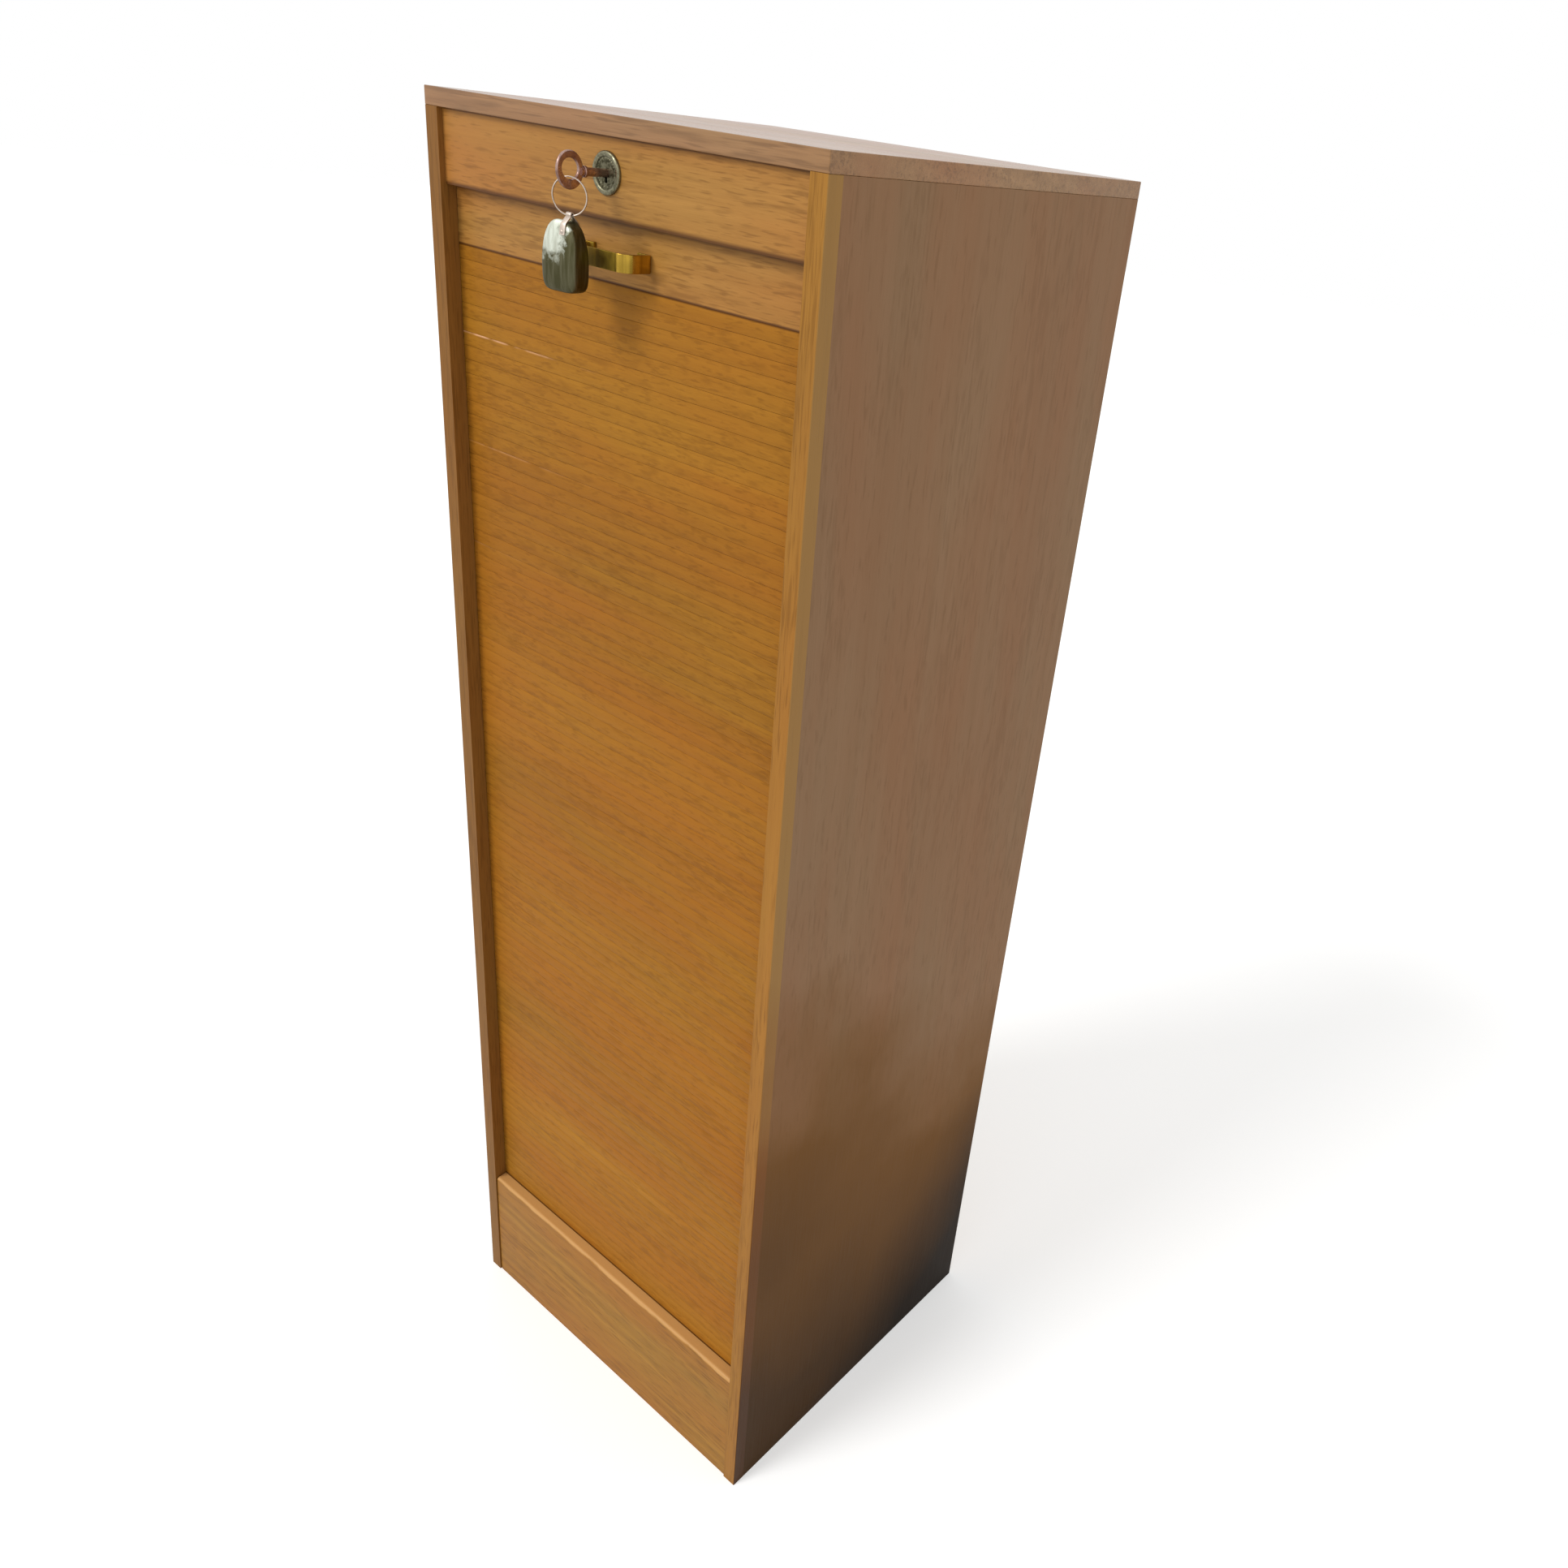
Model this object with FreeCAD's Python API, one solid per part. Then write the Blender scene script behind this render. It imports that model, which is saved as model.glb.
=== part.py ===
import FreeCAD
import Part
import math
import os

# An upright oak filing cabinet. A curtain of slats on canvas, led by a wooden rail with a
# brass pull, closes its front and runs down, under the floor and up behind the inner back.
# Origin: centre of the base, on the floor. X to the right seen from the front, Y to the
# back, Z up. Millimetres. At rest the curtain is closed, the trays are in and the key
# stands upright in the unlocked cylinder.

Vector = FreeCAD.Vector

# Outer size
WIDTH = 438.0
DEPTH = 393.0
HEIGHT = 1330.0
ARRIS = 0.8

# Boards of the carcass
SIDE_THICKNESS = 16.0
TOP_THICKNESS = 14.0
LIPPING_DEPTH = 14.0
FASCIA_HEIGHT = 56.0
FASCIA_THICKNESS = 18.0
FASCIA_RECESS = 5.0
PLINTH_HEIGHT = 156.0
PLINTH_RECESS = 1.5
PLINTH_END_GAP = 1.0
PLINTH_ROUND = 3.5
BASE_THICKNESS = 12.0
BATTEN_DEPTH = 18.0
BATTEN_HEIGHT = 26.0
FLOOR_TOP = 206.0
FLOOR_THICKNESS = 15.0
FLOOR_GAP = 1.5
BEARER_SIZE = 20.0
BEARER_FRONT_GAP = 15.0
BEARER_BACK_GAP = 12.0
INNER_BACK_THICKNESS = 6.0
INNER_BACK_GAP = 4.5
BACK_PANEL_THICKNESS = 5.0
BACK_PANEL_INSET = 1.0
BACK_REBATE_WIDTH = 8.0
BACK_PANEL_GAP = 0.5

# Curtain and the track that guides it
SLAT_THICKNESS = 8.0
SLAT_PITCH = 11.75
SLAT_SPACE = 0.15
SLAT_ARRIS = 0.5
SLAT_END_GAP = 1.0
CANVAS_THICKNESS = 0.8
CANVAS_EDGE_GAP = 3.0
CANVAS_TUCK = 10.0
TRACK_CLEARANCE = 0.5
TRACK_DEPTH = 6.0
TRACK_RADIUS = 90.0
TRACK_RUN_HEIGHT = 24.0
TRACK_SPARE = 80.0
FRONT_RUN_SPARE = 6.0
TAIL_SLATS = 8

# Lead rail
RAIL_SHOWING = 45.0
RAIL_LAP = 13.0
RAIL_LAP_ROOM = 3.0
RAIL_THICKNESS = 16.0
RAIL_SIDE_GAP = 0.5
RAIL_FACE_GAP = 0.8
RAIL_STOP_HEIGHT = 4.0
CANVAS_SLOT_PLAY = 0.2

# Brass pull
PULL_WIDTH = 78.0
PULL_HEIGHT = 13.0
PULL_STRIP = 2.5
PULL_PROUD = 25.5
PULL_CENTRE_ABOVE_RAIL = 19.8
PULL_FRONT_RADIUS = 11.0
PULL_FOOT_RADIUS = 3.2
PULL_FOOT_LENGTH = 14.0
PULL_SCREW_INSET = 8.0
PULL_SCREW_DIAMETER = 4.0
PULL_SCREW_HEAD = 8.0
PULL_SCREW_HEAD_HEIGHT = 2.6
PULL_SCREW_SINK = 4.0

# Lock, measured from the top of the cabinet
LOCK_DROP = 38.7
COLLAR_DIAMETER = 30.0
COLLAR_PROUD = 2.8
COLLAR_DISH_DIAMETER = 22.0
COLLAR_DISH_DEPTH = 1.0
BARREL_DIAMETER = 20.0
PLUG_DIAMETER = 16.0
PLUG_SUNK = 0.4
LOCK_FIT = 0.08
LOCK_PLATE_WIDTH = 46.0
LOCK_PLATE_HEIGHT = 29.0
LOCK_PLATE_THICKNESS = 1.2
LOCK_PLATE_ABOVE_RAIL = 4.0
HOOK_GAP = 0.3
HOOK_THICKNESS = 2.4
HOOK_BITE = 8.0
HOOK_HEAD_DIAMETER = 16.0
HOOK_ARM_WIDTH = 8.0
HOOK_CLAW_WIDTH = 3.8
HOOK_CLAW_REACH = 10.0
HOOK_SPIGOT = 7.0
HOOK_SCREW_DIAMETER = 3.0
HOOK_SCREW_LENGTH = 5.0
HOOK_SCREW_HEAD = 11.0
HOOK_SCREW_HEAD_HEIGHT = 1.8
MORTISE_DEPTH = 10.0
MORTISE_PLAY = 0.9
STRIKE_LENGTH = 54.0
STRIKE_WIDTH = 9.0
STRIKE_THICKNESS = 1.5
STRIKE_SCREW_SPACING = 44.0

# Key, split ring and fob
KEY_PLATE = 2.4
KEY_BOW_WIDTH = 23.0
KEY_BOW_HEIGHT = 25.8
KEY_REACH = 32.0
KEY_BOW_RISE = 0.6
KEY_HOLE_DIAMETER = 13.8
KEY_HOLE_RISE = 1.5
KEY_SHANK_DIAMETER = 6.0
KEY_NECK_DIAMETER = 8.0
KEY_NECK_LENGTH = 2.5
KEY_DEPTH_IN_PLUG = 17.0
KEY_BIT_DROP = 6.5
KEY_BIT_LENGTH = 7.0
KEY_ROUND = 0.7
RING_RADIUS = 12.4
RING_WIRE = 1.7
RING_PLAY = 0.4
RING_TURN = 30.0
LOOP_PLAY = 1.2
LOOP_THICKNESS = 1.0
LOOP_WIDTH = 4.0
LOOP_STEM = 2.0
LOOP_STEM_LENGTH = 10.0
LOOP_FIT = 0.1
FOB_TURN = 8.0
FOB_ASIDE = 5.0
FOB_WIDTH = 33.0
FOB_THICKNESS = 19.5
FOB_HEIGHT = 49.5
FOB_WIDEST = 19.0
FOB_ARCH = 14.0
FOB_CORNER = 7.0
FOB_ROUND = 4.5
FOB_DROP = 0.25

# Trays and what carries them
TRAY_COUNT = 8
TRAY_PITCH = 122.0
TRAY_FIRST = 226.0
TRAY_SIDE_GAP = 2.0
TRAY_SETBACK = 4.5
TRAY_BACK_GAP = 4.0
TRAY_FRONT_HEIGHT = 100.0
TRAY_FRONT_THICKNESS = 12.0
TRAY_WALL_HEIGHT = 60.0
TRAY_WALL_THICKNESS = 10.0
TRAY_BOTTOM_THICKNESS = 5.0
TRAY_BOTTOM_RISE = 5.0
TRAY_GROOVE_DEPTH = 5.0
TRAY_GROOVE_PLAY = 0.1
TRAY_NOTCH_RADIUS = 22.0
CLEAT_SIZE = 12.0
CLEAT_FRONT_GAP = 7.0
CLEAT_BACK_GAP = 5.0
CLEAT_SCREW_INSET = 40.0

# Fixings
DOWEL_DIAMETER = 6.0
DOWEL_LENGTH = 24.0
DOWEL_IN_SIDE = 10.0
DOWEL_FIT = 0.05
TOP_DOWEL_IN_TOP = 9.0
WOOD_SCREW_DIAMETER = 3.0
WOOD_SCREW_HEAD = 6.0
WOOD_SCREW_FIT = 0.05
SLOT_WIDTH = 0.8
SLOT_DEPTH = 0.8
BACK_SCREW_LENGTH = 12.0
BACK_SCREWS_PER_SIDE = 6
BACK_SCREW_END_GAP = 60.0
CLEAT_SCREW_LENGTH = 22.0
LOCK_SCREW_LENGTH = 14.0
STRIKE_SCREW_LENGTH = 14.0
BEARER_SCREW_LENGTH = 30.0
CUT_SPARE = 1.0

# Planes that several pieces share
front = -DEPTH / 2
back = DEPTH / 2
inside = WIDTH / 2 - SIDE_THICKNESS
under_top = HEIGHT - TOP_THICKNESS
track_width = SLAT_THICKNESS + CANVAS_THICKNESS + 2 * TRACK_CLEARANCE
track_front_wall = front + LIPPING_DEPTH
track_front = track_front_wall + track_width / 2
track_back = back - LIPPING_DEPTH - track_width / 2
bend_height = TRACK_RUN_HEIGHT + TRACK_RADIUS
slat_face = track_front_wall + TRACK_CLEARANCE
slat_back = slat_face + SLAT_THICKNESS
slat_end = inside + TRACK_DEPTH - SLAT_END_GAP
fascia_face = front + FASCIA_RECESS
fascia_back = fascia_face + FASCIA_THICKNESS
fascia_bottom = under_top - FASCIA_HEIGHT
rail_bottom = fascia_bottom - RAIL_SHOWING
rail_top = fascia_bottom + RAIL_LAP
rail_back = slat_face + RAIL_THICKNESS
track_top = rail_top + RAIL_LAP_ROOM
rail_travel = rail_bottom - PLINTH_HEIGHT - RAIL_STOP_HEIGHT
plinth_face = front + PLINTH_RECESS
floor_bottom = FLOOR_TOP - FLOOR_THICKNESS
floor_front = rail_back + FLOOR_GAP
inner_back_rear = track_back - track_width / 2 - INNER_BACK_GAP
inner_back_face = inner_back_rear - INNER_BACK_THICKNESS
back_panel_rear = back - BACK_PANEL_INSET
back_panel_face = back_panel_rear - BACK_PANEL_THICKNESS
canvas_edge = inside - CANVAS_EDGE_GAP
canvas_back = slat_back + CANVAS_THICKNESS
front_slats = int((rail_bottom - bend_height - FRONT_RUN_SPARE) / SLAT_PITCH)
front_run_end = rail_bottom - front_slats * SLAT_PITCH
lock_height = HEIGHT - LOCK_DROP
collar_face = fascia_face - COLLAR_PROUD
plug_face = collar_face + COLLAR_DISH_DEPTH + PLUG_SUNK
lock_plate_back = fascia_back + LOCK_PLATE_THICKNESS
lock_plate_bottom = rail_top + LOCK_PLATE_ABOVE_RAIL
hook_front = lock_plate_back + HOOK_GAP
hook_back = hook_front + HOOK_THICKNESS
hook_middle = (hook_front + hook_back) / 2
hook_reach = lock_height - rail_top + HOOK_BITE
slot_left = -HOOK_ARM_WIDTH / 2 - MORTISE_PLAY
slot_right = math.sqrt(hook_reach ** 2 - (lock_height - rail_top) ** 2) + MORTISE_PLAY
strike_middle = (slot_left + slot_right) / 2
pull_middle = rail_bottom + PULL_CENTRE_ABOVE_RAIL
pull_front = slat_face - PULL_PROUD
pull_screw_x = PULL_WIDTH / 2 - PULL_SCREW_INSET
bow_y = plug_face - KEY_REACH
ring_y = bow_y
key_hole_height = lock_height + KEY_HOLE_RISE
ring_top = key_hole_height - KEY_HOLE_DIAMETER / 2 + RING_WIRE / 2 + RING_PLAY
ring_height = ring_top - RING_RADIUS
loop_height = ring_height - RING_RADIUS
loop_inner = RING_WIRE / 2 + LOOP_PLAY
loop_outer = loop_inner + LOOP_THICKNESS
fob_top = loop_height - loop_outer - FOB_DROP
tray_half = inside - TRAY_SIDE_GAP
tray_front = floor_front + TRAY_SETBACK
tray_back = inner_back_face - TRAY_BACK_GAP
bearer_front = floor_front + BEARER_FRONT_GAP
bearer_back = inner_back_face - BEARER_BACK_GAP
cleat_front = tray_front + CLEAT_FRONT_GAP
cleat_back = tray_back - CLEAT_BACK_GAP


def box(x0, x1, y0, y1, z0, z1):
    """A block between two corners."""
    return Part.makeBox(x1 - x0, y1 - y0, z1 - z0, Vector(x0, y0, z0))


def rod(radius, start, direction, length):
    """A round bar from a point along a direction."""
    return Part.makeCylinder(radius, length, Vector(*start), Vector(*direction))


def mirrored(shape):
    """The same shape on the other side of the middle plane."""
    return shape.mirror(Vector(0, 0, 0), Vector(1, 0, 0))


def both_sides(shape):
    return [shape, mirrored(shape)]


def cut_all(shape, cutters):
    if not cutters:
        return shape
    return shape.cut(Part.makeCompound(cutters))


def round_edges(shape, radius, chosen):
    """Round the edges whose two ends both satisfy a test."""
    edges = []
    for edge in shape.Edges:
        points = [vertex.Point for vertex in edge.Vertexes]
        if len(points) == 2 and chosen(points[0]) and chosen(points[1]):
            edges.append(edge)
    return shape.makeFillet(radius, edges)


def near(value, target):
    return abs(value - target) < 0.01


def yz_prism(edges, x0, x1):
    """A closed outline in the plane X = 0, pushed out between two values of X."""
    face = Part.Face(Part.Wire(edges))
    face.translate(Vector(x0, 0, 0))
    return face.extrude(Vector(x1 - x0, 0, 0))


def yz_line(start, end):
    return Part.makeLine(Vector(0, *start), Vector(0, *end))


def yz_arc(centre, radius, from_angle, to_angle):
    """An arc in the plane X = 0, with angles in degrees from +Y towards +Z."""
    points = []
    for angle in (from_angle, (from_angle + to_angle) / 2, to_angle):
        turn = math.radians(angle)
        y = centre[0] + radius * math.cos(turn)
        z = centre[1] + radius * math.sin(turn)
        points.append(Vector(0, y, z))
    return Part.Arc(*points).toShape()


def save(name, shapes):
    """Write one node, which holds one solid or a group of separate solids."""
    solids = shapes if isinstance(shapes, list) else [shapes]
    for solid in solids:
        if not solid.isValid() or solid.Volume <= 0:
            raise ValueError(name + " has a solid that is not sound")
    shape = solids[0] if len(solids) == 1 else Part.makeCompound(solids)
    shape.exportStep("parts/" + name + ".step")
    print(name, len(shape.Solids), round(shape.Volume / 1000, 2))


def wood_screw(tip_side, head_face, length, diameter=WOOD_SCREW_DIAMETER, head=WOOD_SCREW_HEAD):
    """A countersunk screw whose slotted head lies flush at head_face and points along tip_side."""
    way = Vector(*tip_side)
    start = Vector(*head_face)
    cone_height = (head - diameter) / 2
    cone = Part.makeCone(head / 2, diameter / 2, cone_height, start, way)
    shank = Part.makeCylinder(diameter / 2, length - cone_height - diameter, start + way * cone_height, way)
    point_start = start + way * (length - diameter)
    point = Part.makeCone(diameter / 2, diameter / 8, diameter, point_start, way)
    slot = Part.makeBox(head, SLOT_WIDTH, 2 * SLOT_DEPTH, Vector(-head / 2, -SLOT_WIDTH / 2, -SLOT_DEPTH))
    slot.Placement = FreeCAD.Placement(start, FreeCAD.Rotation(Vector(0, 0, 1), way))
    return cone.fuse([shank, point]).removeSplitter().cut(slot)


def wood_screw_hole(tip_side, head_face, length, diameter=WOOD_SCREW_DIAMETER, head=WOOD_SCREW_HEAD):
    """The countersunk hole that the screw above fills."""
    way = Vector(*tip_side)
    start = Vector(*head_face)
    cone_height = (head - diameter) / 2
    wide = head / 2 + WOOD_SCREW_FIT
    narrow = diameter / 2 + WOOD_SCREW_FIT
    cone = Part.makeCone(wide, narrow, cone_height, start, way)
    shank = Part.makeCylinder(narrow, length, start, way)
    return cone.fuse(shank)


def board_rows():
    """Three places from front to back at which the boards are joined."""
    middle = (bearer_front + bearer_back) / 2
    third = (bearer_back - bearer_front) / 3
    return [middle - third, middle, middle + third]


def track_outline():
    """The whole path of the groove: down the front, under the floor and up the back."""
    half = track_width / 2
    outer = TRACK_RADIUS + half
    inner = TRACK_RADIUS - half
    front_bend = (track_front + TRACK_RADIUS, bend_height)
    back_bend = (track_back - TRACK_RADIUS, bend_height)
    curtain_length = rail_bottom - front_run_end + TAIL_SLATS * SLAT_PITCH
    round_the_floor = math.pi * TRACK_RADIUS + back_bend[0] - front_bend[0]
    parked = curtain_length - (rail_bottom - rail_travel - bend_height) - round_the_floor
    back_top = bend_height + parked + TRACK_SPARE
    low_out = TRACK_RUN_HEIGHT - half
    low_in = TRACK_RUN_HEIGHT + half
    y_out = (track_front - half, track_back + half)
    y_in = (track_front + half, track_back - half)
    return [
        yz_line((y_out[0], track_top), (y_out[0], bend_height)),
        yz_arc(front_bend, outer, 180, 270),
        yz_line((front_bend[0], low_out), (back_bend[0], low_out)),
        yz_arc(back_bend, outer, 270, 360),
        yz_line((y_out[1], bend_height), (y_out[1], back_top)),
        yz_line((y_out[1], back_top), (y_in[1], back_top)),
        yz_line((y_in[1], back_top), (y_in[1], bend_height)),
        yz_arc(back_bend, inner, 360, 270),
        yz_line((back_bend[0], low_in), (front_bend[0], low_in)),
        yz_arc(front_bend, inner, 270, 180),
        yz_line((y_in[0], bend_height), (y_in[0], track_top)),
        yz_line((y_in[0], track_top), (y_out[0], track_top)),
    ]


def dowel_places():
    """Each dowel of the right side: its end in the side or top, and the way it points."""
    into_board = (-1, 0, 0)
    end = inside + DOWEL_IN_SIDE
    rows = board_rows()
    places = []
    for y in rows:
        places.append(((end, y, BASE_THICKNESS / 2), into_board))
        places.append(((end, y, floor_bottom + FLOOR_THICKNESS / 2), into_board))
    fascia_solid = under_top - track_top
    for share in (0.3, 0.75):
        behind_lipping = fascia_back - DOWEL_DIAMETER
        places.append(((end, behind_lipping, track_top + share * fascia_solid), into_board))
    for share in (0.25, 0.75):
        middle = (plinth_face + track_front_wall) / 2
        places.append(((end, middle, share * PLINTH_HEIGHT), into_board))
    for y in rows:
        top_end = under_top + TOP_DOWEL_IN_TOP
        places.append(((WIDTH / 2 - SIDE_THICKNESS / 2, y, top_end), (0, 0, -1)))
    return places


def dowels():
    solids = []
    for start, way in dowel_places():
        solids += both_sides(rod(DOWEL_DIAMETER / 2, start, way, DOWEL_LENGTH))
    return solids


def dowel_holes():
    """Holes that are longer than the dowels by the fit at each end."""
    solids = []
    for start, way in dowel_places():
        begin = Vector(*start) - Vector(*way) * DOWEL_FIT
        hole = rod(DOWEL_DIAMETER / 2 + DOWEL_FIT, begin, way, DOWEL_LENGTH + 2 * DOWEL_FIT)
        solids += both_sides(hole)
    return solids


def back_screw_faces():
    """Heads of the screws that hold the back panel, down both rebates."""
    x = inside + BACK_REBATE_WIDTH / 2
    steps = BACK_SCREWS_PER_SIDE - 1
    spacing = (under_top - 2 * BACK_SCREW_END_GAP) / steps
    faces = []
    for step in range(BACK_SCREWS_PER_SIDE):
        height = BACK_SCREW_END_GAP + step * spacing
        faces.append((x, back_panel_rear, height))
        faces.append((-x, back_panel_rear, height))
    return faces


def bearer_screw_faces():
    height = floor_bottom - BEARER_SIZE / 2
    x = inside - BEARER_SIZE
    rows = board_rows()
    return [(x, rows[0], height), (x, rows[2], height)]


def tray_heights():
    return [TRAY_FIRST + number * TRAY_PITCH for number in range(TRAY_COUNT)]


def cleat_screw_faces():
    """Heads of the screws through the right-hand cleats."""
    faces = []
    x = inside - CLEAT_SIZE
    for height in tray_heights():
        middle = height - CLEAT_SIZE / 2
        faces.append((x, cleat_front + CLEAT_SCREW_INSET, middle))
        faces.append((x, cleat_back - CLEAT_SCREW_INSET, middle))
    return faces


def screw_set(way, faces, length):
    return [wood_screw(way, face, length) for face in faces]


def hole_set(way, faces, length):
    return [wood_screw_hole(way, face, length) for face in faces]


def side_board():
    """The right side between its two lippings, with the groove for the curtain."""
    board = box(inside, WIDTH / 2, track_front_wall, back - LIPPING_DEPTH, 0, under_top)
    groove = yz_prism(track_outline(), inside - CUT_SPARE, inside + TRACK_DEPTH)
    screws = hole_set((1, 0, 0), cleat_screw_faces(), CLEAT_SCREW_LENGTH)
    screws += hole_set((1, 0, 0), bearer_screw_faces(), BEARER_SCREW_LENGTH)
    return cut_all(board, [groove] + screws + dowel_holes())


def front_lipping():
    """The solid strip on the front edge of the right side."""
    strip = box(inside, WIDTH / 2, front, track_front_wall, 0, under_top)
    strip = round_edges(strip, ARRIS, lambda p: near(p.x, WIDTH / 2) and near(p.y, front))
    return cut_all(strip, dowel_holes())


def back_lipping():
    """The strip on the rear edge, with the rebate that takes the back panel."""
    strip = box(inside, WIDTH / 2, back - LIPPING_DEPTH, back, 0, under_top)
    strip = round_edges(strip, ARRIS, lambda p: near(p.x, WIDTH / 2) and near(p.y, back))
    rebate_edge = inside + BACK_REBATE_WIDTH
    rebate = box(inside - CUT_SPARE, rebate_edge, back_panel_face, back + CUT_SPARE, -CUT_SPARE, HEIGHT)
    screws = hole_set((0, -1, 0), back_screw_faces(), BACK_SCREW_LENGTH)
    return cut_all(strip, [rebate] + screws)


def top_panel():
    panel = box(-WIDTH / 2, WIDTH / 2, front, back, under_top, HEIGHT)
    panel = panel.makeFillet(ARRIS, panel.Edges)
    return cut_all(panel, dowel_holes())


def fascia():
    """The fixed rail over the opening, rebated behind for the top of the lead rail."""
    board = box(-inside, inside, fascia_face, fascia_back, fascia_bottom, under_top)
    rebate_face = slat_face - RAIL_FACE_GAP
    rebate = box(-WIDTH, WIDTH, rebate_face, back, 0, track_top)
    barrel_hole = rod(BARREL_DIAMETER / 2 + LOCK_FIT, (0, front, lock_height), (0, 1, 0), DEPTH)
    screws = hole_set((0, -1, 0), lock_screw_faces(), LOCK_SCREW_LENGTH)
    return cut_all(board, [rebate, barrel_hole] + screws + dowel_holes())


def plinth():
    half = inside - PLINTH_END_GAP
    board = box(-half, half, plinth_face, track_front_wall, 0, PLINTH_HEIGHT)
    top_front = lambda p: near(p.y, plinth_face) and near(p.z, PLINTH_HEIGHT)
    board = round_edges(board, PLINTH_ROUND, top_front)
    return cut_all(board, dowel_holes())


def base_board():
    board = box(-inside, inside, track_front_wall, back_panel_face, 0, BASE_THICKNESS)
    return cut_all(board, dowel_holes())


def batten(y0, y1):
    """A glued corner strip along the base, outside the bend of the curtain."""
    return box(-inside, inside, y0, y1, BASE_THICKNESS, BASE_THICKNESS + BATTEN_HEIGHT)


def carcass_floor():
    board = box(-inside, inside, floor_front, inner_back_face, floor_bottom, FLOOR_TOP)
    return cut_all(board, dowel_holes())


def floor_bearer():
    low = floor_bottom - BEARER_SIZE
    strip = box(inside - BEARER_SIZE, inside, bearer_front, bearer_back, low, floor_bottom)
    return cut_all(strip, hole_set((1, 0, 0), bearer_screw_faces(), BEARER_SCREW_LENGTH))


def inner_back():
    return box(-inside, inside, inner_back_face, inner_back_rear, floor_bottom, under_top)


def back_panel():
    half = inside + BACK_REBATE_WIDTH - BACK_PANEL_GAP
    panel = box(-half, half, back_panel_face, back_panel_rear, 0, under_top - BACK_PANEL_GAP)
    return cut_all(panel, hole_set((0, -1, 0), back_screw_faces(), BACK_SCREW_LENGTH))


def slat():
    """One slat at the height 0, its lower edge half a joint up, face to the front."""
    low = SLAT_SPACE / 2
    high = SLAT_PITCH - SLAT_SPACE / 2
    points = [
        (slat_back, low),
        (slat_back, high),
        (slat_face + SLAT_ARRIS, high),
        (slat_face, high - SLAT_ARRIS),
        (slat_face, low + SLAT_ARRIS),
        (slat_face + SLAT_ARRIS, low),
    ]
    edges = [yz_line(points[i - 1], points[i]) for i in range(len(points))]
    return yz_prism(edges, -slat_end, slat_end)


def front_curtain():
    """The slats between the lead rail and the start of the bend."""
    pattern = slat()
    solids = []
    for number in range(front_slats):
        solids.append(pattern.translated(Vector(0, 0, front_run_end + number * SLAT_PITCH)))
    return solids


def tail_curtain():
    """The last slats, which follow the groove round the front bend."""
    centre_y = track_front + TRACK_RADIUS
    canvas_radius = centre_y - slat_back
    straight = front_run_end - bend_height
    pattern = slat()
    solids = []
    for number in range(TAIL_SLATS):
        middle = (number + 0.5) * SLAT_PITCH
        piece = pattern.translated(Vector(0, 0, -SLAT_PITCH / 2))
        past_bend = middle - straight
        if past_bend <= 0:
            piece = piece.translated(Vector(0, 0, front_run_end - middle))
        else:
            piece = piece.translated(Vector(0, 0, bend_height))
            turn = math.degrees(past_bend / canvas_radius)
            piece = piece.rotated(Vector(0, centre_y, bend_height), Vector(1, 0, 0), turn)
        solids.append(piece)
    return solids


def front_canvas():
    """The cloth behind the straight slats, tucked into the slot of the lead rail."""
    return box(-canvas_edge, canvas_edge, slat_back, canvas_back, front_run_end, rail_bottom + CANVAS_TUCK)


def tail_canvas():
    """The cloth behind the tail, straight down to the bend and then round it."""
    centre = (track_front + TRACK_RADIUS, bend_height)
    outer = centre[0] - slat_back
    inner = centre[0] - canvas_back
    straight = front_run_end - bend_height
    turn = math.degrees((TAIL_SLATS * SLAT_PITCH - straight) / outer)
    end = 180 + turn
    cos_end = math.cos(math.radians(end))
    sin_end = math.sin(math.radians(end))
    outer_end = (centre[0] + outer * cos_end, centre[1] + outer * sin_end)
    inner_end = (centre[0] + inner * cos_end, centre[1] + inner * sin_end)
    edges = [
        yz_line((slat_back, front_run_end), (slat_back, bend_height)),
        yz_arc(centre, outer, 180, end),
        yz_line(outer_end, inner_end),
        yz_arc(centre, inner, end, 180),
        yz_line((canvas_back, bend_height), (canvas_back, front_run_end)),
        yz_line((canvas_back, front_run_end), (slat_back, front_run_end)),
    ]
    return yz_prism(edges, -canvas_edge, canvas_edge)


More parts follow.
